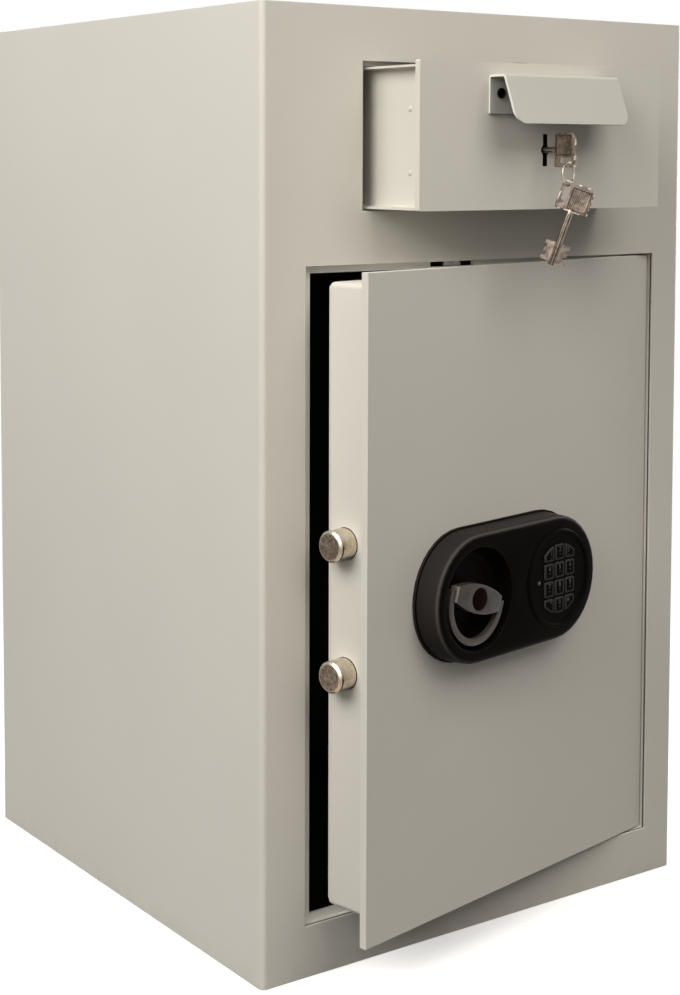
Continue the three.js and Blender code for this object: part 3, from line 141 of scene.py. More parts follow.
# CAD nodes whose folds are rounded, and those whose round faces are shaded smoothly
FOLDED_PIECES = ("cabinet_wrap", "door_plate", "drawer_front", "drawer_handle")
ROUND_PIECES = (
    "lock_housing", "keypad_disc", "hub_cap", "status_lamp", "handle_spindle",
    "lock_bolt_upper", "lock_bolt_lower", "split_ring", "flap_rod", "door_box", "drawer_tray",
    "handle_screw_1", "handle_screw_2", "anchor_plug_1", "anchor_plug_2",
)

# Lamps: their place, the level that they are aimed at, their size, power in watts and colour
NEUTRAL = (1.0, 0.985, 0.96)
WARM = (1.0, 0.955, 0.91)
LAMPS = {
    "key_left_high": ((-1.85, -0.55, 1.80), 0.50, 1.5, 51, NEUTRAL),
    "fill_front_high": ((0.05, -1.75, 2.20), 0.60, 1.7, 31, WARM),
    "fill_left_low": ((-1.70, -1.50, 0.90), 0.40, 1.3, 6, NEUTRAL),
    "rim_right": ((2.40, 0.50, 0.95), 0.35, 1.6, 30, NEUTRAL),
    "rim_back": ((0.40, 2.70, 0.95), 0.35, 1.6, 28, NEUTRAL),
}


def tint(code):
    """An sRGB hex colour as linear RGBA."""
    parts = [int(code[i : i + 2], 16) / 255 for i in (1, 3, 5)]
    linear = [c / 12.92 if c <= 0.04045 else ((c + 0.055) / 1.055) ** 2.4 for c in parts]
    return (*linear, 1.0)


def node(tree, kind, inputs=None, **settings):
    """Adds one node, whose kind is named without its ShaderNode prefix. settings are its own fields.

    inputs holds what each input gets: a hex colour, a value, a socket, or a node, which gives the first
    output that its settings leave on.
    """
    made = tree.nodes.new("ShaderNode" + kind)
    for key, value in settings.items():
        setattr(made, key, value)
    for key, value in (inputs or {}).items():
        if isinstance(value, bpy.types.Node):
            value = next(output for output in value.outputs if output.enabled)
        if isinstance(value, bpy.types.NodeSocket):
            tree.links.new(value, made.inputs[key])
        else:
            made.inputs[key].default_value = tint(value) if isinstance(value, str) else value
    return made


def per_metre(size_mm):
    """How many features of a size in millimetres a metre holds: the scale of their pattern.

    The real grain of coat, plating and mouldings is a tenth of a millimetre or less, too fine to show, so
    it is drawn at 0.4 mm or more.
    """
    return 1 / (size_mm * MM)


def ajar(points):
    """Points of the shut door, an array of x, y, z, turned about the hinge as the ajar door is."""
    turned = np.array(points, dtype=float)
    east, north = turned[..., 0] - HINGE[0], turned[..., 1] - HINGE[1]
    turned[..., 0] = HINGE[0] + math.cos(DOOR_TURN) * east - math.sin(DOOR_TURN) * north
    turned[..., 1] = HINGE[1] + math.sin(DOOR_TURN) * east + math.cos(DOOR_TURN) * north
    return turned


def new_material(name):
    """An empty node material, its tree, and the place of a point in its piece's own coordinates."""
    material = bpy.data.materials.new(name)
    material.use_nodes = True
    tree = material.node_tree
    tree.nodes.clear()
    return material, tree, node(tree, "TexCoord").outputs["Object"]


def finish(tree, colour, grain, rough, relief, constants):
    """Ends a material: colour, relief, a roughness between two levels by the grain, and constants."""
    low, high = rough
    levels = {0: grain, 1: 0.2, 2: 0.8, 3: low, 4: high}
    gloss = node(tree, "MapRange", levels, interpolation_type="SMOOTHSTEP")
    inputs = {"Base Color": colour, "Roughness": gloss, "Normal": relief, **constants}
    node(tree, "OutputMaterial", {"Surface": node(tree, "BsdfPrincipled", inputs)})


def layer(tree, below, colour, *masks, most=1.0):
    """Lays a colour over another, by the share most times its masks.

    Each mask is a value with the level at which it hides the colour and the one at which it shows it all.
    """
    share = most
    for value, hidden, shown in masks:
        mask = node(tree, "MapRange", {0: value, 1: hidden, 2: shown}, interpolation_type="SMOOTHSTEP")
        share = node(tree, "Math", {0: share, 1: mask}, operation="MULTIPLY")
    return node(tree, "Mix", {0: share, 6: below, 7: colour}, data_type="RGBA")


def drifting(tree, place, size_mm, light, dark, detail=3.0):
    """A colour that drifts between two, in clouds about size_mm across."""
    cloud = node(tree, "TexNoise", {"Vector": place, "Scale": per_metre(size_mm), "Detail": detail})
    return layer(tree, light, dark, (cloud, 0.3, 0.7))


def outside_box(tree, place, middle, half):
    """How far a point lies outside a box, on the axis on which it is furthest out, below 0 inside it."""
    offset = node(tree, "VectorMath", {0: place, 1: middle}, operation="SUBTRACT")
    size = node(tree, "VectorMath", {0: offset}, operation="ABSOLUTE")
    beyond = node(tree, "VectorMath", {0: size, 1: half}, operation="SUBTRACT")
    x, y, z = node(tree, "SeparateXYZ", {0: beyond}).outputs
    level = node(tree, "Math", {0: x, 1: y}, operation="MAXIMUM")
    return node(tree, "Math", {0: level, 1: z}, operation="MAXIMUM")


def front_radius(tree, place, x, z):
    """How far a point lies from the line through x and z that runs straight into the safe."""
    offset = node(tree, "VectorMath", {0: place, 1: (x, 0.0, z)}, operation="SUBTRACT")
    flat = node(tree, "VectorMath", {0: offset, 1: (1.0, 0.0, 1.0)}, operation="MULTIPLY")
    return node(tree, "VectorMath", {0: flat}, operation="LENGTH")


def shut_place(tree, place):
    """The place of a point of the ajar door as if the door were shut: turned back about the hinge."""
    inputs = {"Vector": place, "Location": HINGE, "Rotation": (0.0, 0.0, DOOR_TURN)}
    from_hinge = node(tree, "Mapping", inputs, vector_type="TEXTURE")
    return node(tree, "VectorMath", {0: from_hinge, 1: HINGE}, operation="ADD")


def distance_from_grid(tree, value, middle, pitch, count):
    """How far a value is from the nearest of count evenly spaced lines round a middle."""
    first = middle - pitch * (count - 1) / 2
    offset = node(tree, "Math", {0: value, 1: first}, operation="SUBTRACT")
    steps = node(tree, "Math", {0: offset, 1: pitch}, operation="DIVIDE")
    limited = node(tree, "Clamp", {"Value": steps, "Min": 0.0, "Max": count - 1.0})
    nearest = node(tree, "Math", {0: limited}, operation="ROUND")
    off = node(tree, "Math", {0: steps, 1: nearest}, operation="SUBTRACT")
    distance = node(tree, "Math", {0: off, 1: pitch}, operation="MULTIPLY")
    return node(tree, "Math", {0: distance}, operation="ABSOLUTE")


def powder_coat(name, light, dark, rough=0.5, marks=(), side=None, inner_shade=None, keyhole=None):
    """Fine-textured powder coat: the eye gets a soft matt sheen broken by a dense orange-peel grain.

    marks holds scuffs on the front: middle x and z, half width, half height and colour. side is a colour
    for the sheet's edges that face left, a painted highlight where the lamp from the left falls on them.
    inner is one for the walls inside the cabinet and keyhole one for the cut walls of the keyhole, both
    painted shade.
    """
    material, tree, place = new_material(name)
    cloud = node(tree, "TexNoise", {"Vector": place, "Scale": per_metre(160)})
    grain = node(tree, "TexNoise", {"Vector": place, "Scale": per_metre(0.9), "Roughness": 0.6})
    inputs = {"Vector": place, "Scale": per_metre(2.2), "Detail": 1.0, "Roughness": 0.4}
    peel = node(tree, "TexNoise", inputs)
    dust = node(tree, "TexNoise", {"Vector": place, "Scale": per_metre(14), "Detail": 4.0})
    level = node(tree, "SeparateXYZ", {0: place}).outputs[2]
    base = layer(tree, light, dark, (cloud, 0.35, 0.65))
    base = layer(tree, base, dark, (grain, 0.3, 0.7), most=0.10)
    base = layer(tree, base, "#a59c8c", (level, 0.02, 0.0), (dust, 0.35, 0.7), most=0.12)
    for x, z, half_wide, half_high, colour in marks:
        offset = node(tree, "VectorMath", {0: place, 1: (x, 0.0, z)}, operation="SUBTRACT")
        per_half = (1 / half_wide, 0.0, 1 / half_high)
        share = node(tree, "VectorMath", {0: offset, 1: per_half}, operation="MULTIPLY")
        off = node(tree, "VectorMath", {0: share, 1: share}, operation="DOT_PRODUCT")
        inputs = {"Vector": place, "Scale": per_metre(1.5), "Detail": 3.0, "Roughness": 0.7}
        wear_and_sheen = node(tree, "Math", {0: node(tree, "TexNoise", inputs), 1: 1.6}, operation="MULTIPLY")
        base = layer(tree, base, colour, (off, 1.2, 0.5), most=wear_and_sheen)
    if side is not None:
        # Painted highlight: edges that face left are paler, as the lamp from the left lights them
        normal = node(tree, "TexCoord").outputs["Normal"]
        leftward = node(tree, "SeparateXYZ", {0: normal}).outputs[0]
        base = layer(tree, base, side, (leftward, -0.6, -0.9))
    if inner_shade is not None:
        # Painted shade: the walls inside the cabinet are darker, as they lie in shade
        base = layer(tree, base, inner_shade, (outside_box(tree, place, (0.0, 0.0, 0.0), INSIDE), 0.3 * MM, 0.0))
    if keyhole is not None:
        # Painted shade: the cut walls of the keyhole are near black, as the slot lies in shade
        slot = outside_box(tree, place, (0.0, 0.0, KEYHOLE_Z), (KEYHOLE_SLOT[0], FAR, KEYHOLE_SLOT[1]))
        radius = front_radius(tree, place, 0.0, KEYHOLE_Z)
        middle = node(tree, "Math", {0: radius, 1: KEYHOLE_RADIUS}, operation="SUBTRACT")
        hole = node(tree, "Math", {0: slot, 1: middle}, operation="MINIMUM")
        base = layer(tree, base, keyhole, (hole, 0.2 * MM, 0.1 * MM))
    coarse = node(tree, "Bump", {"Height": peel, "Strength": 0.12, "Distance": 0.25 * MM})
    fine = {"Height": grain, "Strength": 0.35, "Distance": 0.12 * MM, "Normal": coarse}
    relief = node(tree, "Bump", fine)
    finish(tree, base, grain, (rough - 0.07, rough + 0.09), relief, {"Specular IOR Level": 0.35})
    return material


def plated(name, light, dark, rough=0.3, streak_mm=(0.4, 0.4, 6.0), cloud_mm=9):
    """Plated or bare metal: the eye gets a directional drawn grain and slightly uneven gloss."""
    material, tree, place = new_material(name)
    scale = tuple(per_metre(size) for size in streak_mm)
    stretched = node(tree, "VectorMath", {0: place, 1: scale}, operation="MULTIPLY")
    streak = node(tree, "TexNoise", {"Vector": stretched, "Scale": 1.0, "Detail": 3.0})
    relief = node(tree, "Bump", {"Height": streak, "Strength": 0.15, "Distance": 0.03 * MM})
    base = drifting(tree, place, cloud_mm, light, dark)
    finish(tree, base, streak, (rough - 0.08, rough + 0.12), relief, {"Metallic": 1.0})
    return material


def bolt_metal(name, light, dark, end, bright, wear_and_sheen, line):
    """Plated locking bolts, with painted light: the end is a painted dark brown reflection, the turned edge
    a painted highlight that is brightest on top, and a dark line behind it a painted reflection.

    The line is drawn where a bolt faces down and to the front. Painted shade also darkens a bolt below and
    at its root.
    """
    material, tree, place = new_material(name)
    start = (BOLT_TIP, BOLT_AXIS_Y, LOCK_Z)
    offset = node(tree, "VectorMath", {0: shut_place(tree, place), 1: start}, operation="SUBTRACT")
    along, back, level = node(tree, "SeparateXYZ", {0: offset}).outputs
    bolt = node(tree, "Math", {0: level}, operation="SIGN")
    high = node(tree, "Math", {0: bolt, 1: -BOLT_OFFSET, 2: level}, operation="MULTIPLY_ADD")
    section = node(tree, "CombineXYZ", {1: back, 2: high})
    radius = node(tree, "VectorMath", {0: section}, operation="LENGTH")
    outward = node(tree, "VectorMath", {0: section}, operation="NORMALIZE")
    rise = node(tree, "SeparateXYZ", {0: outward}).outputs[2]
    below = node(tree, "VectorMath", {0: outward, 1: (0.0, -0.93, -1.0)}, operation="DOT_PRODUCT")
    blotch = node(tree, "TexNoise", {"Vector": place, "Scale": per_metre(2.5), "Detail": 3.0})
    streak = node(tree, "TexNoise", {"Vector": place, "Scale": per_metre(1.2), "Detail": 3.0})
    base = drifting(tree, place, 6, light, dark)
    # Painted shade on a bolt's underside
    base = layer(tree, base, line, (rise, -0.45, -0.8), most=0.9)
    # Painted reflection: a dark line just behind the chamfer, where the bolt faces down and to the front
    shade = (along, BOLT_CHAMFER + 1.8 * MM, BOLT_CHAMFER + 1.2 * MM)
    base = layer(tree, base, line, shade, (below, 0.5, 0.85))
    # Painted highlight on the chamfer, brightest where it faces up
    edge = layer(tree, wear_and_sheen, bright, (rise, -0.1, 0.6))
    base = layer(tree, base, edge, (along, BOLT_CHAMFER + 0.2 * MM, BOLT_CHAMFER))
    # The end face: a painted dark reflection with blotches, and a ring of painted highlight at its edge
    face = layer(tree, end, dark, (blotch, 0.35, 0.75), most=0.22)
    face = layer(tree, face, wear_and_sheen, (radius, BOLT_END_RADIUS - 0.7 * MM, BOLT_END_RADIUS - 0.4 * MM))
    base = layer(tree, base, face, (along, 0.2 * MM, 0.1 * MM))
    # Painted shade at the root, where the bolt leaves the box
    base = layer(tree, base, line, (along, BOLT_LENGTH - 1.0 * MM, BOLT_LENGTH - 0.3 * MM))
    relief = node(tree, "Bump", {"Height": streak, "Strength": 0.12, "Distance": 0.03 * MM})
    finish(tree, base, streak, (0.2, 0.36), relief, {"Metallic": 1.0})
    return material


def key_metal(name, seat, light, dark, bright, line):
    """Plated stamped key with painted light: painted shade in the panel's hatching and the stem's flutes,
    and dashes of painted highlight on the bow's border.

    Painted shade also makes a dark line round the panel. seat is where the key sits, as KEY_IN_LOCK is.
    """
    material, tree, place = new_material(name)
    origin, stem, side = seat
    offset = node(tree, "VectorMath", {0: place, 1: origin}, operation="SUBTRACT")
    along = node(tree, "VectorMath", {0: offset, 1: stem}, operation="DOT_PRODUCT")
    across = node(tree, "VectorMath", {0: offset, 1: side}, operation="DOT_PRODUCT")
    seated = node(tree, "CombineXYZ", {0: along, 1: across})
    grain = node(tree, "TexNoise", {"Vector": place, "Scale": per_metre(0.7), "Detail": 3.0})
    base = drifting(tree, place, 3.5, light, dark)

    # Painted shade in the hatching on the panel, stamped deeper in some places than in others, and in the
    # ditch round the panel
    slant = node(tree, "Math", {0: along, 1: across}, operation="SUBTRACT")
    phase = node(tree, "Math", {0: slant, 1: 2 * math.pi / KEY_HATCH}, operation="MULTIPLY")
    hatch = node(tree, "Math", {0: phase}, operation="SINE")
    stamp = node(tree, "TexNoise", {"Vector": place, "Scale": per_metre(3.0)})
    levels = {0: stamp, 1: 0.35, 2: 0.62, 3: 0.15, 4: 0.85}
    depth = node(tree, "MapRange", levels, interpolation_type="SMOOTHSTEP")
    panel = outside_box(tree, seated, *KEY_PANEL)
    base = layer(tree, base, line, (hatch, -0.1, 0.8), (panel, 0.0, -0.3 * MM), most=depth)
    ditch = node(tree, "Math", {0: panel}, operation="ABSOLUTE")
    base = layer(tree, base, line, (ditch, 0.6 * MM, 0.2 * MM), most=0.8)

    # Rim of the bow: painted shade along it, with dashes of painted highlight
    bow = outside_box(tree, seated, *KEY_BOW)
    rim_width = {0: bow, 1: -0.9 * MM, 2: -0.4 * MM}
    rim_end = {0: along, 1: 0.3 * MM, 2: 0.0}
    rim = node(tree, "MapRange", rim_width, interpolation_type="SMOOTHSTEP")
    on_bow = node(tree, "MapRange", rim_end, interpolation_type="SMOOTHSTEP")
    rim = node(tree, "Math", {0: rim, 1: on_bow}, operation="MULTIPLY")
    base = layer(tree, base, line, (rim, 0.0, 1.0), most=0.7)
    dashes = node(tree, "TexNoise", {"Vector": place, "Scale": per_metre(2.6)})
    base = layer(tree, base, bright, (dashes, 0.42, 0.56), most=rim)

    # Painted shade in the flutes along the stem
    phase = node(tree, "Math", {0: across, 1: 2 * math.pi / KEY_FLUTE}, operation="MULTIPLY")
    flute = node(tree, "Math", {0: phase}, operation="COSINE")
    aside = node(tree, "Math", {0: across}, operation="ABSOLUTE")
    on_stem = (aside, KEY_STEM_HALF + 0.1 * MM, KEY_STEM_HALF)
    base = layer(tree, base, line, (flute, 0.1, -0.7), on_stem, (along, 1.0 * MM, 2.0 * MM))
    relief = node(tree, "Bump", {"Height": grain, "Strength": 0.15, "Distance": 0.03 * MM})
    finish(tree, base, grain, (0.24, 0.42), relief, {"Metallic": 1.0})
    return material


def grip_moulding(name, light, dark, end):
    """Moulded grip bar: the eye gets a grey-bronze satin bar whose ends carry a painted highlight."""
    material, tree, place = new_material(name)
    middle = (HANDLE_X, 0.0, LOCK_Z)
    offset = node(tree, "VectorMath", {0: shut_place(tree, place), 1: middle}, operation="SUBTRACT")
    lengthways = (math.cos(GRIP_TURN), 0.0, -math.sin(GRIP_TURN))
    along = node(tree, "VectorMath", {0: offset, 1: lengthways}, operation="DOT_PRODUCT")
    reach = node(tree, "Math", {0: along}, operation="ABSOLUTE")
    grain = node(tree, "TexNoise", {"Vector": place, "Scale": per_metre(0.5), "Roughness": 0.6})
    base = drifting(tree, place, 12, light, dark)
    base = layer(tree, base, dark, (grain, 0.35, 0.7), most=0.3)
    # Painted highlight on the ends of the bar
    base = layer(tree, base, end, (reach, GRIP_REACH, GRIP_REACH + 0.4 * MM))
    relief = node(tree, "Bump", {"Height": grain, "Strength": 0.15, "Distance": 0.04 * MM})
    finish(tree, base, grain, (0.22, 0.36), relief, {"Specular IOR Level": 0.25})
    return material


def moulding(name, light, dark, rough=0.5, grain_mm=0.5, gloss=0.3):
    """Moulded plastic or rubber: the eye gets a fine spark-eroded grain and a low sheen."""
    material, tree, place = new_material(name)
    grain = node(tree, "TexNoise", {"Vector": place, "Scale": per_metre(grain_mm), "Roughness": 0.6})
    relief = node(tree, "Bump", {"Height": grain, "Strength": 0.12, "Distance": 0.04 * MM})
    base = drifting(tree, place, 25, light, dark, 2.0)
    finish(tree, base, grain, (rough - 0.06, rough + 0.08), relief, {"Specular IOR Level": gloss})
    return material


def housing_moulding(name, light, dark, wall, edge):
    """Moulded lock housing: the eye gets a near-black matt face and bowl, with greyer sides and a bright
    edge as painted sheen.
    """
    material, tree, place = new_material(name)
    radius = front_radius(tree, shut_place(tree, place), HANDLE_X, LOCK_Z)
    normal = node(tree, "TexCoord").outputs["Normal"]
    outward = (math.sin(DOOR_TURN), -math.cos(DOOR_TURN), 0.0)
    facing = node(tree, "VectorMath", {0: normal, 1: outward}, operation="DOT_PRODUCT")
    grain = node(tree, "TexNoise", {"Vector": place, "Scale": per_metre(0.6), "Roughness": 0.6})
    base = drifting(tree, place, 25, light, dark, 2.0)
    # Painted sheen: outside the bowl, the rounded edge is brighter and the sides greyer than the face
    wear_and_sheen = layer(tree, edge, wall, (facing, 0.6, 0.2))
    outside = (radius, BOWL_RADIUS - 0.4 * MM, BOWL_RADIUS)
    base = layer(tree, base, wear_and_sheen, (facing, 0.97, 0.55), outside)
    relief = node(tree, "Bump", {"Height": grain, "Strength": 0.12, "Distance": 0.04 * MM})
    finish(tree, base, grain, (0.30, 0.42), relief, {"Specular IOR Level": 0.012})
    return material


def key_cap_rubber(name, rim, field):
    """Moulded key rubber: the eye gets a raised rim round a dark sunk field on every key, the rim's paler
    colour a painted sheen.
    """
    material, tree, place = new_material(name)
    shut = shut_place(tree, place)
    x, _, z = node(tree, "SeparateXYZ", {0: shut}).outputs
    column = distance_from_grid(tree, x, KEYPAD_X, KEY_PITCH[0], 3)
    row = distance_from_grid(tree, z, LOCK_Z, KEY_PITCH[1], 4)
    on_key = node(tree, "CombineXYZ", {0: column, 2: row})
    key = outside_box(tree, on_key, (0.0, 0.0, 0.0), (KEY_HALF[0], FAR, KEY_HALF[1]))
    radius = front_radius(tree, shut, KEYPAD_X, LOCK_Z)
    trim = node(tree, "Math", {0: radius, 1: KEY_FIELD}, operation="SUBTRACT")
    inside = node(tree, "Math", {0: key, 1: trim}, operation="MAXIMUM")
    edge = {0: inside, 1: -1.5 * MM, 2: -1.0 * MM}
    raised = node(tree, "MapRange", edge, interpolation_type="SMOOTHSTEP")
    grain = node(tree, "TexNoise", {"Vector": place, "Scale": per_metre(0.4), "Roughness": 0.6})
    # Painted sheen: the raised rims are paler than the field
    base = layer(tree, field, rim, most=raised)
    base = layer(tree, base, field, (grain, 0.3, 0.7), most=0.25)
    fine = node(tree, "Bump", {"Height": grain, "Strength": 0.2, "Distance": 0.05 * MM})
    rims = {"Height": raised, "Strength": 0.8, "Distance": 0.2 * MM, "Normal": fine}
    finish(tree, base, grain, (0.5, 0.62), node(tree, "Bump", rims), {"Specular IOR Level": 0.008})
    return material


# Finishes by the CAD model's own material slots
FINISHES = {
    "paint": powder_coat("powder_coat_warm_grey", "#d1cdc3", "#cfcbc1"),
    "zinc_plate": plated("zinc_plated_sheet", "#9d9a92", "#85827a", 0.42, (3.0, 3.0, 3.0), 4),
    "bright_steel": plated("bright_turned_steel", "#c2bfb8", "#a9a59d", 0.28),
    "nickel_plate": plated("satin_nickel_plate", "#b5aa9b", "#9a8f80", 0.3, (0.8, 0.8, 0.8), 5),
    "black_moulding": moulding("black_abs_moulding", "#0d0a08", "#0a0807", 0.35, 0.6, 0.01),
    "grey_moulding": moulding("grey_bronze_moulding", "#4a413b", "#403833", 0.26, 0.5, 0.3),
    # The key rubber's paler rim colour is a painted sheen
    "key_rubber": key_cap_rubber("black_key_rubber", "#474340", "#080706"),
    "lamp_lens": moulding("lamp_lens_clear", "#6b6660", "#56514c", 0.3, 0.5, 0.1),
}

# A nick on the right of the door opening and two faint scratches above the drawer
SCUFFS = (
    (0.1685, 0.4620, 0.0011, 0.0024, "#6f6a60"),
    (0.0300, 0.6452, 0.0090, 0.0003, "#8d887d"),
    (0.0470, 0.6446, 0.0060, 0.0003, "#969186"),
)
# Painted shade: the cabinet and its back, top and base panels are darker on the walls inside
CABINET_PAINT = powder_coat("powder_coat_scuffed_inner_shade", "#d1cdc3", "#cfcbc1", marks=SCUFFS, inner_shade="#4d4942")
INSIDE_SHADE_PAINT = powder_coat("powder_coat_back_inner_shade", "#d1cdc3", "#cfcbc1", inner_shade="#4d4942")
# Painted light: the door frame's lip is paler than the coat elsewhere, lifting it where it lies in shade
LIGHTENED_LIP_PAINT = powder_coat("powder_coat_lip_painted_light", "#efede5", "#ebe9e1")
# Painted shade: the drawer front's keyhole walls are near black
FRONT_PAINT = powder_coat("powder_coat_drawer_front", "#d1cdc3", "#cfcbc1", keyhole="#0b0908")
# Painted highlight: the handle's edges that face left are paler
HANDLE_PAINT = powder_coat("powder_coat_handle", "#b6b5ab", "#b3b2a8", side="#dedbd2")
BEAD_PAINT = powder_coat("powder_coat_over_weld", "#dedad0", "#cfcbc0", 0.45)
# Bolt colours: light and dark; the end is a painted reflection; the next two paint the edge's highlight;
# the last is painted shade and reflection
BOLT_FINISH = bolt_metal(
    "nickel_plated_bolt", "#e0d5c5", "#cbbfae", "#5b4d42", "#ddd4c7", "#9a8b7b", "#33291f"
)
# Key colours: light and dark; the third is a painted highlight, the last painted shade in grooves and round
# the panel
KEY_FINISH = key_metal("nickel_key", KEY_IN_LOCK, "#b8a996", "#93867a", "#cfc4b4", "#4a4036")
# Painted shade: the spare key is the same nickel, drawn darker as it hangs in less light
SHADED_SPARE_FINISH = key_metal("nickel_spare_key_shaded", KEY_HANGING, "#93867a", "#6d6156", "#c9beb0", "#2e2720")
# Near-black steel: on the drawer's lock case it is painted shade, so that the keyhole reads black; the
# handle screws are drawn in it too
DARK_STEEL = plated("near_black_steel", "#120f0c", "#0b0908", 0.45, (2.0, 2.0, 2.0), 5)
# Housing colours: the last two are painted sheen on its greyer sides and bright rounded edge
HOUSING_FINISH = housing_moulding("black_abs_housing", "#0d0a08", "#0a0807", "#2c2927", "#4b4845")
CAP_FINISH = moulding("brown_black_cap", "#1b0f0c", "#130a08", 0.35, 0.5, 0.004)
# The grip's last colour is a painted highlight on the bar's ends
GRIP_FINISH = grip_moulding("grey_bronze_grip", "#48403a", "#39322d", "#8b8279")
PRINT = moulding("grey_key_print", "#64605b", "#56524d", 0.6, 0.3, 0.1)

# Finishes of the pieces that have one of their own
OWN_FINISHES = {
    "cabinet_wrap": CABINET_PAINT,
    "back_panel": INSIDE_SHADE_PAINT,
    "top_panel": INSIDE_SHADE_PAINT,
    "base_panel": INSIDE_SHADE_PAINT,
    "door_frame": LIGHTENED_LIP_PAINT,
    "lock_bolt_upper": BOLT_FINISH,
    "lock_bolt_lower": BOLT_FINISH,
    "lock_housing": HOUSING_FINISH,
    "hub_cap": CAP_FINISH,
    "grip_bar": GRIP_FINISH,
    "drawer_front": FRONT_PAINT,
    "drawer_handle": HANDLE_PAINT,
    # The lock case's near-black is painted shade seen through the keyhole
    "drawer_lock_case": DARK_STEEL,
    "handle_screw_1": DARK_STEEL,
    "handle_screw_2": DARK_STEEL,
    "drawer_key": KEY_FINISH,
    "spare_key": SHADED_SPARE_FINISH,
}


def dress(name):
    """Gives a CAD node its own finish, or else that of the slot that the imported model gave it."""
    slots = nodes[name].material_slots
    packed = slots[0].material.name.split(".")[0]
    for slot in slots:
        slot.material = OWN_FINISHES.get(name, FINISHES[packed])


def modify(obj, kind, **settings):
    """Adds one modifier with its settings."""
    made = obj.modifiers.new(kind.lower(), kind)
    for key, value in settings.items():
        setattr(made, key, value)


def soften(name):
    """Rounds a CAD node's sharp edges a little, as folded sheet has them.

    Only plain folds take it: the bevel folds over itself on a notched lip such as the door frame's.
    """
    obj = nodes[name]
    sharp = {"limit_method": "ANGLE", "angle_limit": math.radians(40)}
    modify(obj, "WELD", merge_threshold=JOIN_GAP)
    modify(obj, "DECIMATE", decimate_type="DISSOLVE", angle_limit=math.radians(1.5))
    modify(obj, "BEVEL", width=FOLD_ROUNDING, segments=2, harden_normals=True, **sharp)


def smooth(name, edge_mm, sharp_degrees):
    """Shades a CAD node's round faces smoothly and keeps its real edges, rounded a little where asked."""
    obj = nodes[name]
    mesh = obj.data
    sharp = math.radians(sharp_degrees)
    if "custom_normal" in mesh.attributes:
        mesh.attributes.remove(mesh.attributes["custom_normal"])
    mesh.polygons.foreach_set("use_smooth", np.ones(len(mesh.polygons), dtype=bool))
    modify(obj, "WELD", merge_threshold=JOIN_GAP)
    if edge_mm:
        modify(obj, "BEVEL", width=edge_mm * MM, segments=2, limit_method="ANGLE", angle_limit=sharp)
    modify(obj, "EDGE_SPLIT", split_angle=sharp)


def add_object(name, data):
    """Puts a mesh, lamp, camera or text into the scene as an object."""
    obj = bpy.data.objects.new(name, data)
    bpy.context.scene.collection.objects.link(obj)
    return obj


def skin(name, rings, material, body):
    """A closed piece from rings of equal count, by ring, point and x, y, z, capped flat at both ends."""
    rings = np.asarray(rings, dtype=float)
    count, around = rings.shape[:2]
    points = np.concatenate([rings.reshape(-1, 3), rings[:1].mean(axis=1), rings[-1:].mean(axis=1)])
    edge = np.arange(around)
    turn = (edge + 1) % around
    first = np.arange(count - 1)[:, None] * around
    here = first + edge[None, :]
    after = first + turn[None, :]
    quads = np.stack([here, after, after + around, here + around], axis=-1).reshape(-1, 4)
    last = (count - 1) * around
    low = np.stack([turn, edge, np.full(around, count * around)], axis=-1)
    high = np.stack([edge + last, turn + last, np.full(around, count * around + 1)], axis=-1)
    mesh = bpy.data.meshes.new(name)
    mesh.from_pydata(points.tolist(), [], quads.tolist() + low.tolist() + high.tolist())
    mesh.polygons.foreach_set("use_smooth", np.ones(len(mesh.polygons), dtype=bool))
    mesh.materials.append(material)
    obj = add_object(name, mesh)
    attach(obj, body)


def weld_bead(name, low, high):
    """A painted weld stitch in the corner between the boltwork box and the door plate.

    An ellipse swept upwards. Its size swells and sinks with the cosine of the height, as solidified ripples
    do, and fades at both ends with the root of 1 less the eighth power of the way from the middle.
    """
    height = np.linspace(low, high, 120)[:, None]
    turn = np.linspace(0, 2 * np.pi, 13)[None, :-1]
    way = 2 * (height - low) / (high - low) - 1
    fade = np.sqrt(np.clip(1 - way**8, 0.02, 1))
    size = fade * (1 + 0.16 * np.cos(2 * np.pi * height / BEAD_RIPPLE))
    x = BOX_LEFT + BEAD_SET_IN[0] + BEAD_SECTION[0] * size * np.cos(turn)
    y = DOOR_BACK_Y + BEAD_SET_IN[1] + BEAD_SECTION[1] * size * np.sin(turn)
    rings = np.stack([x, y, np.broadcast_to(height, x.shape)], axis=-1)
    skin(name, ajar(rings), BEAD_PAINT, "door")


def spatter(name, z):
    """A bead of weld spatter under the paint, beside a stitch.

    A ball, a little taller than wide, whose radius waves with the cosine of three turns and two tilts.
    """
    tilt = np.linspace(0.02, np.pi - 0.02, 9)[:, None]
    turn = np.linspace(0, 2 * np.pi, 15)[None, :-1]
    size = SPATTER_RADIUS * (1 + 0.15 * np.cos(3 * turn + 2 * tilt))
    x = BOX_LEFT + SPATTER_SET_IN[0] + size * np.sin(tilt) * np.cos(turn)
    y = DOOR_BACK_Y + SPATTER_SET_IN[1] + size * np.sin(tilt) * np.sin(turn)
    rings = np.stack([x, y, z - 1.3 * size * np.cos(tilt)], axis=-1)
    skin(name, ajar(rings), BEAD_PAINT, "door")


def spot_weld(name, x, y, z, way):
    """A shallow painted dome on a side wall of the drawer, where a bracket inside is fastened to it.

    Circles that shrink as they rise from the wall, along x in the way that the wall faces.
    """
    radius = np.array([2.2, 2.1, 1.9, 1.4, 0.8, 0.3])[:, None] * MM
    rise = np.array([-0.2, 0.05, 0.4, 0.7, 0.9, 0.95])[:, None] * MM
    turn = np.linspace(0, 2 * np.pi, 25)[None, :-1] * -way
    aside = y + radius * np.cos(turn)
    above = z + radius * np.sin(turn)
    rings = np.stack([np.broadcast_to(x + way * rise, aside.shape), aside, above], axis=-1)
    skin(name, rings, FINISHES["paint"], "drawer")


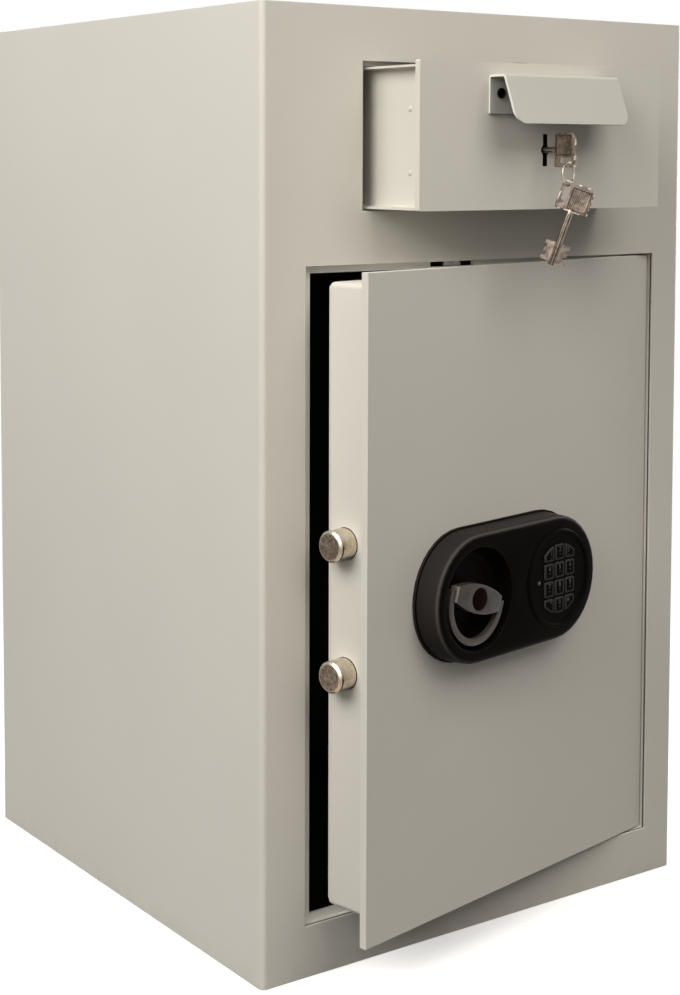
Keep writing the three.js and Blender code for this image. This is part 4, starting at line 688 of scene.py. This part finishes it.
def printed_digit(index, text):
    """A key's print: its digit with a short bar under it, as thin flat letterforms.

    The two lower corner keys have no bar, because the disc would cut it when they are pressed.
    """
    column, row = index % 3, index // 3
    aside = column - 1
    corner = row in (0, 3) and column != 1
    inward = PRINT_INWARD if corner else 0.0
    x = KEYPAD_X + aside * KEY_PITCH[0] - aside * inward
    z = LOCK_Z + (1.5 - row) * KEY_PITCH[1] - (1 if row == 0 else -1) * inward
    curve = bpy.data.curves.new("digit", "FONT")
    curve.body = text if corner and row == 3 else f"{text}\n-"
    curve.size = PRINT_SIZE
    curve.space_line = PRINT_LINES
    curve.align_x = "CENTER"
    curve.align_y = "CENTER"
    curve.extrude = PRINT_HALF_THICK
    curve.resolution_u = 3
    maker = add_object("digit_maker", curve)
    mesh = bpy.data.meshes.new_from_object(maker.evaluated_get(bpy.context.evaluated_depsgraph_get()))
    bpy.data.objects.remove(maker)
    flat = np.empty(len(mesh.vertices) * 3)
    mesh.vertices.foreach_get("co", flat)
    across, up, out = flat.reshape(-1, 3).T
    level = KEY_TOP_LEVEL + PRINT_LIFT + out
    shut = np.stack([x + across, DOOR_FACE_Y - level, z + PRINT_RISE + up], axis=-1)
    mesh.vertices.foreach_set("co", ajar(shut).ravel())
    mesh.materials.clear()
    mesh.materials.append(PRINT)
    obj = add_object(f"printed_digit_{index + 1:02d}", mesh)
    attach(obj, f"button_{index + 1:02d}")


def seen_share(tree):
    """1 for what the camera, gloss and glass see, 0 for what lights the object."""
    rays = node(tree, "LightPath").outputs
    inputs = {0: rays["Is Glossy Ray"], 1: rays["Is Transmission Ray"]}
    mirrored = node(tree, "Math", inputs, operation="MAXIMUM")
    return node(tree, "Math", {0: rays["Is Camera Ray"], 1: mirrored}, operation="MAXIMUM")


def stage_floor():
    """A plain pale floor: it keeps the object's shadow and fades into the white backdrop further off."""
    material, tree, place = new_material("pale_studio_floor")
    distance = node(tree, "VectorMath", {0: place}, operation="LENGTH")
    fade = {0: distance, 1: FLOOR_FADE[0], 2: FLOOR_FADE[1]}
    far = node(tree, "MapRange", fade, interpolation_type="SMOOTHSTEP")
    pale = node(tree, "BsdfDiffuse", {"Color": "#f0efec"})
    lift = node(tree, "Emission", {"Color": "#ffffff", "Strength": 0.42})
    near = node(tree, "AddShader", {0: pale, 1: lift})
    white = node(tree, "Emission", {"Color": "#ffffff", "Strength": 1.0})
    shown = node(tree, "MixShader", {0: far, 1: near, 2: white})
    bounce = node(tree, "BsdfDiffuse", {"Color": "#1c1814"})
    whole = node(tree, "MixShader", {0: seen_share(tree), 1: bounce, 2: shown})
    node(tree, "OutputMaterial", {"Surface": whole})
    mesh = bpy.data.meshes.new("floor")
    corners = [(FLOOR_REACH * x, FLOOR_REACH * y, 0) for x, y in ((-1, -1), (1, -1), (1, 1), (-1, 1))]
    mesh.from_pydata(corners, [], [(0, 1, 2, 3)])
    mesh.materials.append(material)
    add_object("floor", mesh)


def studio_world():
    """White for what the camera and gloss see, a soft and slightly warm light for the rest."""
    world = bpy.data.worlds.new("studio")
    bpy.context.scene.world = world
    world.use_nodes = True
    tree = world.node_tree
    tree.nodes.clear()
    soft = node(tree, "Background", {"Color": (1.0, 0.98, 0.95, 1.0), "Strength": 0.20})
    white = node(tree, "Background", {"Color": "#ffffff", "Strength": 1.0})
    mixed = node(tree, "MixShader", {0: seen_share(tree), 1: soft, 2: white})
    node(tree, "OutputWorld", {"Surface": mixed})


def lamp(name, place, aim_level, size, power, colour):
    """A soft square studio lamp at a place, aimed at a level on the safe's middle line."""
    light = bpy.data.lights.new(name, "AREA")
    light.shape = "SQUARE"
    light.size = size
    light.energy = power
    light.color = colour
    obj = add_object(name, light)
    obj.location = place
    aim = Vector((0.0, 0.0, aim_level)) - Vector(place)
    obj.rotation_euler = aim.to_track_quat("-Z", "Y").to_euler()


def set_camera():
    """The photograph's camera: a long lens with a lowered frame, no depth of field."""
    data = bpy.data.cameras.new("camera")
    data.lens = CAMERA_LENS
    data.sensor_width = 36.0
    data.shift_x, data.shift_y = CAMERA_SHIFT
    data.clip_start = 0.01
    data.clip_end = 60.0
    turn = (
        Matrix.Rotation(CAMERA_YAW, 3, "Z")
        @ Matrix.Rotation(CAMERA_PITCH, 3, "X")
        @ Matrix.Rotation(CAMERA_ROLL, 3, "Y")
        @ Matrix.Rotation(math.radians(90), 3, "X")
    )
    obj = add_object("camera", data)
    obj.matrix_world = Matrix.Translation(CAMERA_PLACE) @ turn.to_4x4()
    bpy.context.scene.camera = obj


bpy.context.scene.view_settings.view_transform = "Standard"
set_camera()
stage_floor()
studio_world()
for name, (place, aim_level, size, power, colour) in LAMPS.items():
    lamp(name, place, aim_level, size, power, colour)

for name in sorted(nodes):
    dress(name)
for name in FOLDED_PIECES:
    soften(name)
for name in ROUND_PIECES:
    smooth(name, edge_mm=0.0, sharp_degrees=35)
for name in ("grip_bar", "pull_ring"):
    smooth(name, edge_mm=0.6, sharp_degrees=40)
for name in ("drawer_key", "spare_key"):
    smooth(name, edge_mm=0.18, sharp_degrees=40)

for index, text in enumerate("123456789*0#"):
    smooth(f"keypad_key_{index + 1:02d}", edge_mm=0.25, sharp_degrees=50)
    printed_digit(index, text)
for index, (low, high) in enumerate(BEAD_ENDS):
    weld_bead(f"weld_bead_{index + 1}", low, high)
for index, z in enumerate(SPATTER_LEVELS):
    spatter(f"weld_spatter_{index + 1}", z)
for index, (way, z) in enumerate((way, z) for way in (-1, 1) for z in MARK_LEVELS):
    spot_weld(f"spot_weld_{index + 1}", way * MARK_PLACE[0], MARK_PLACE[1], z, way)
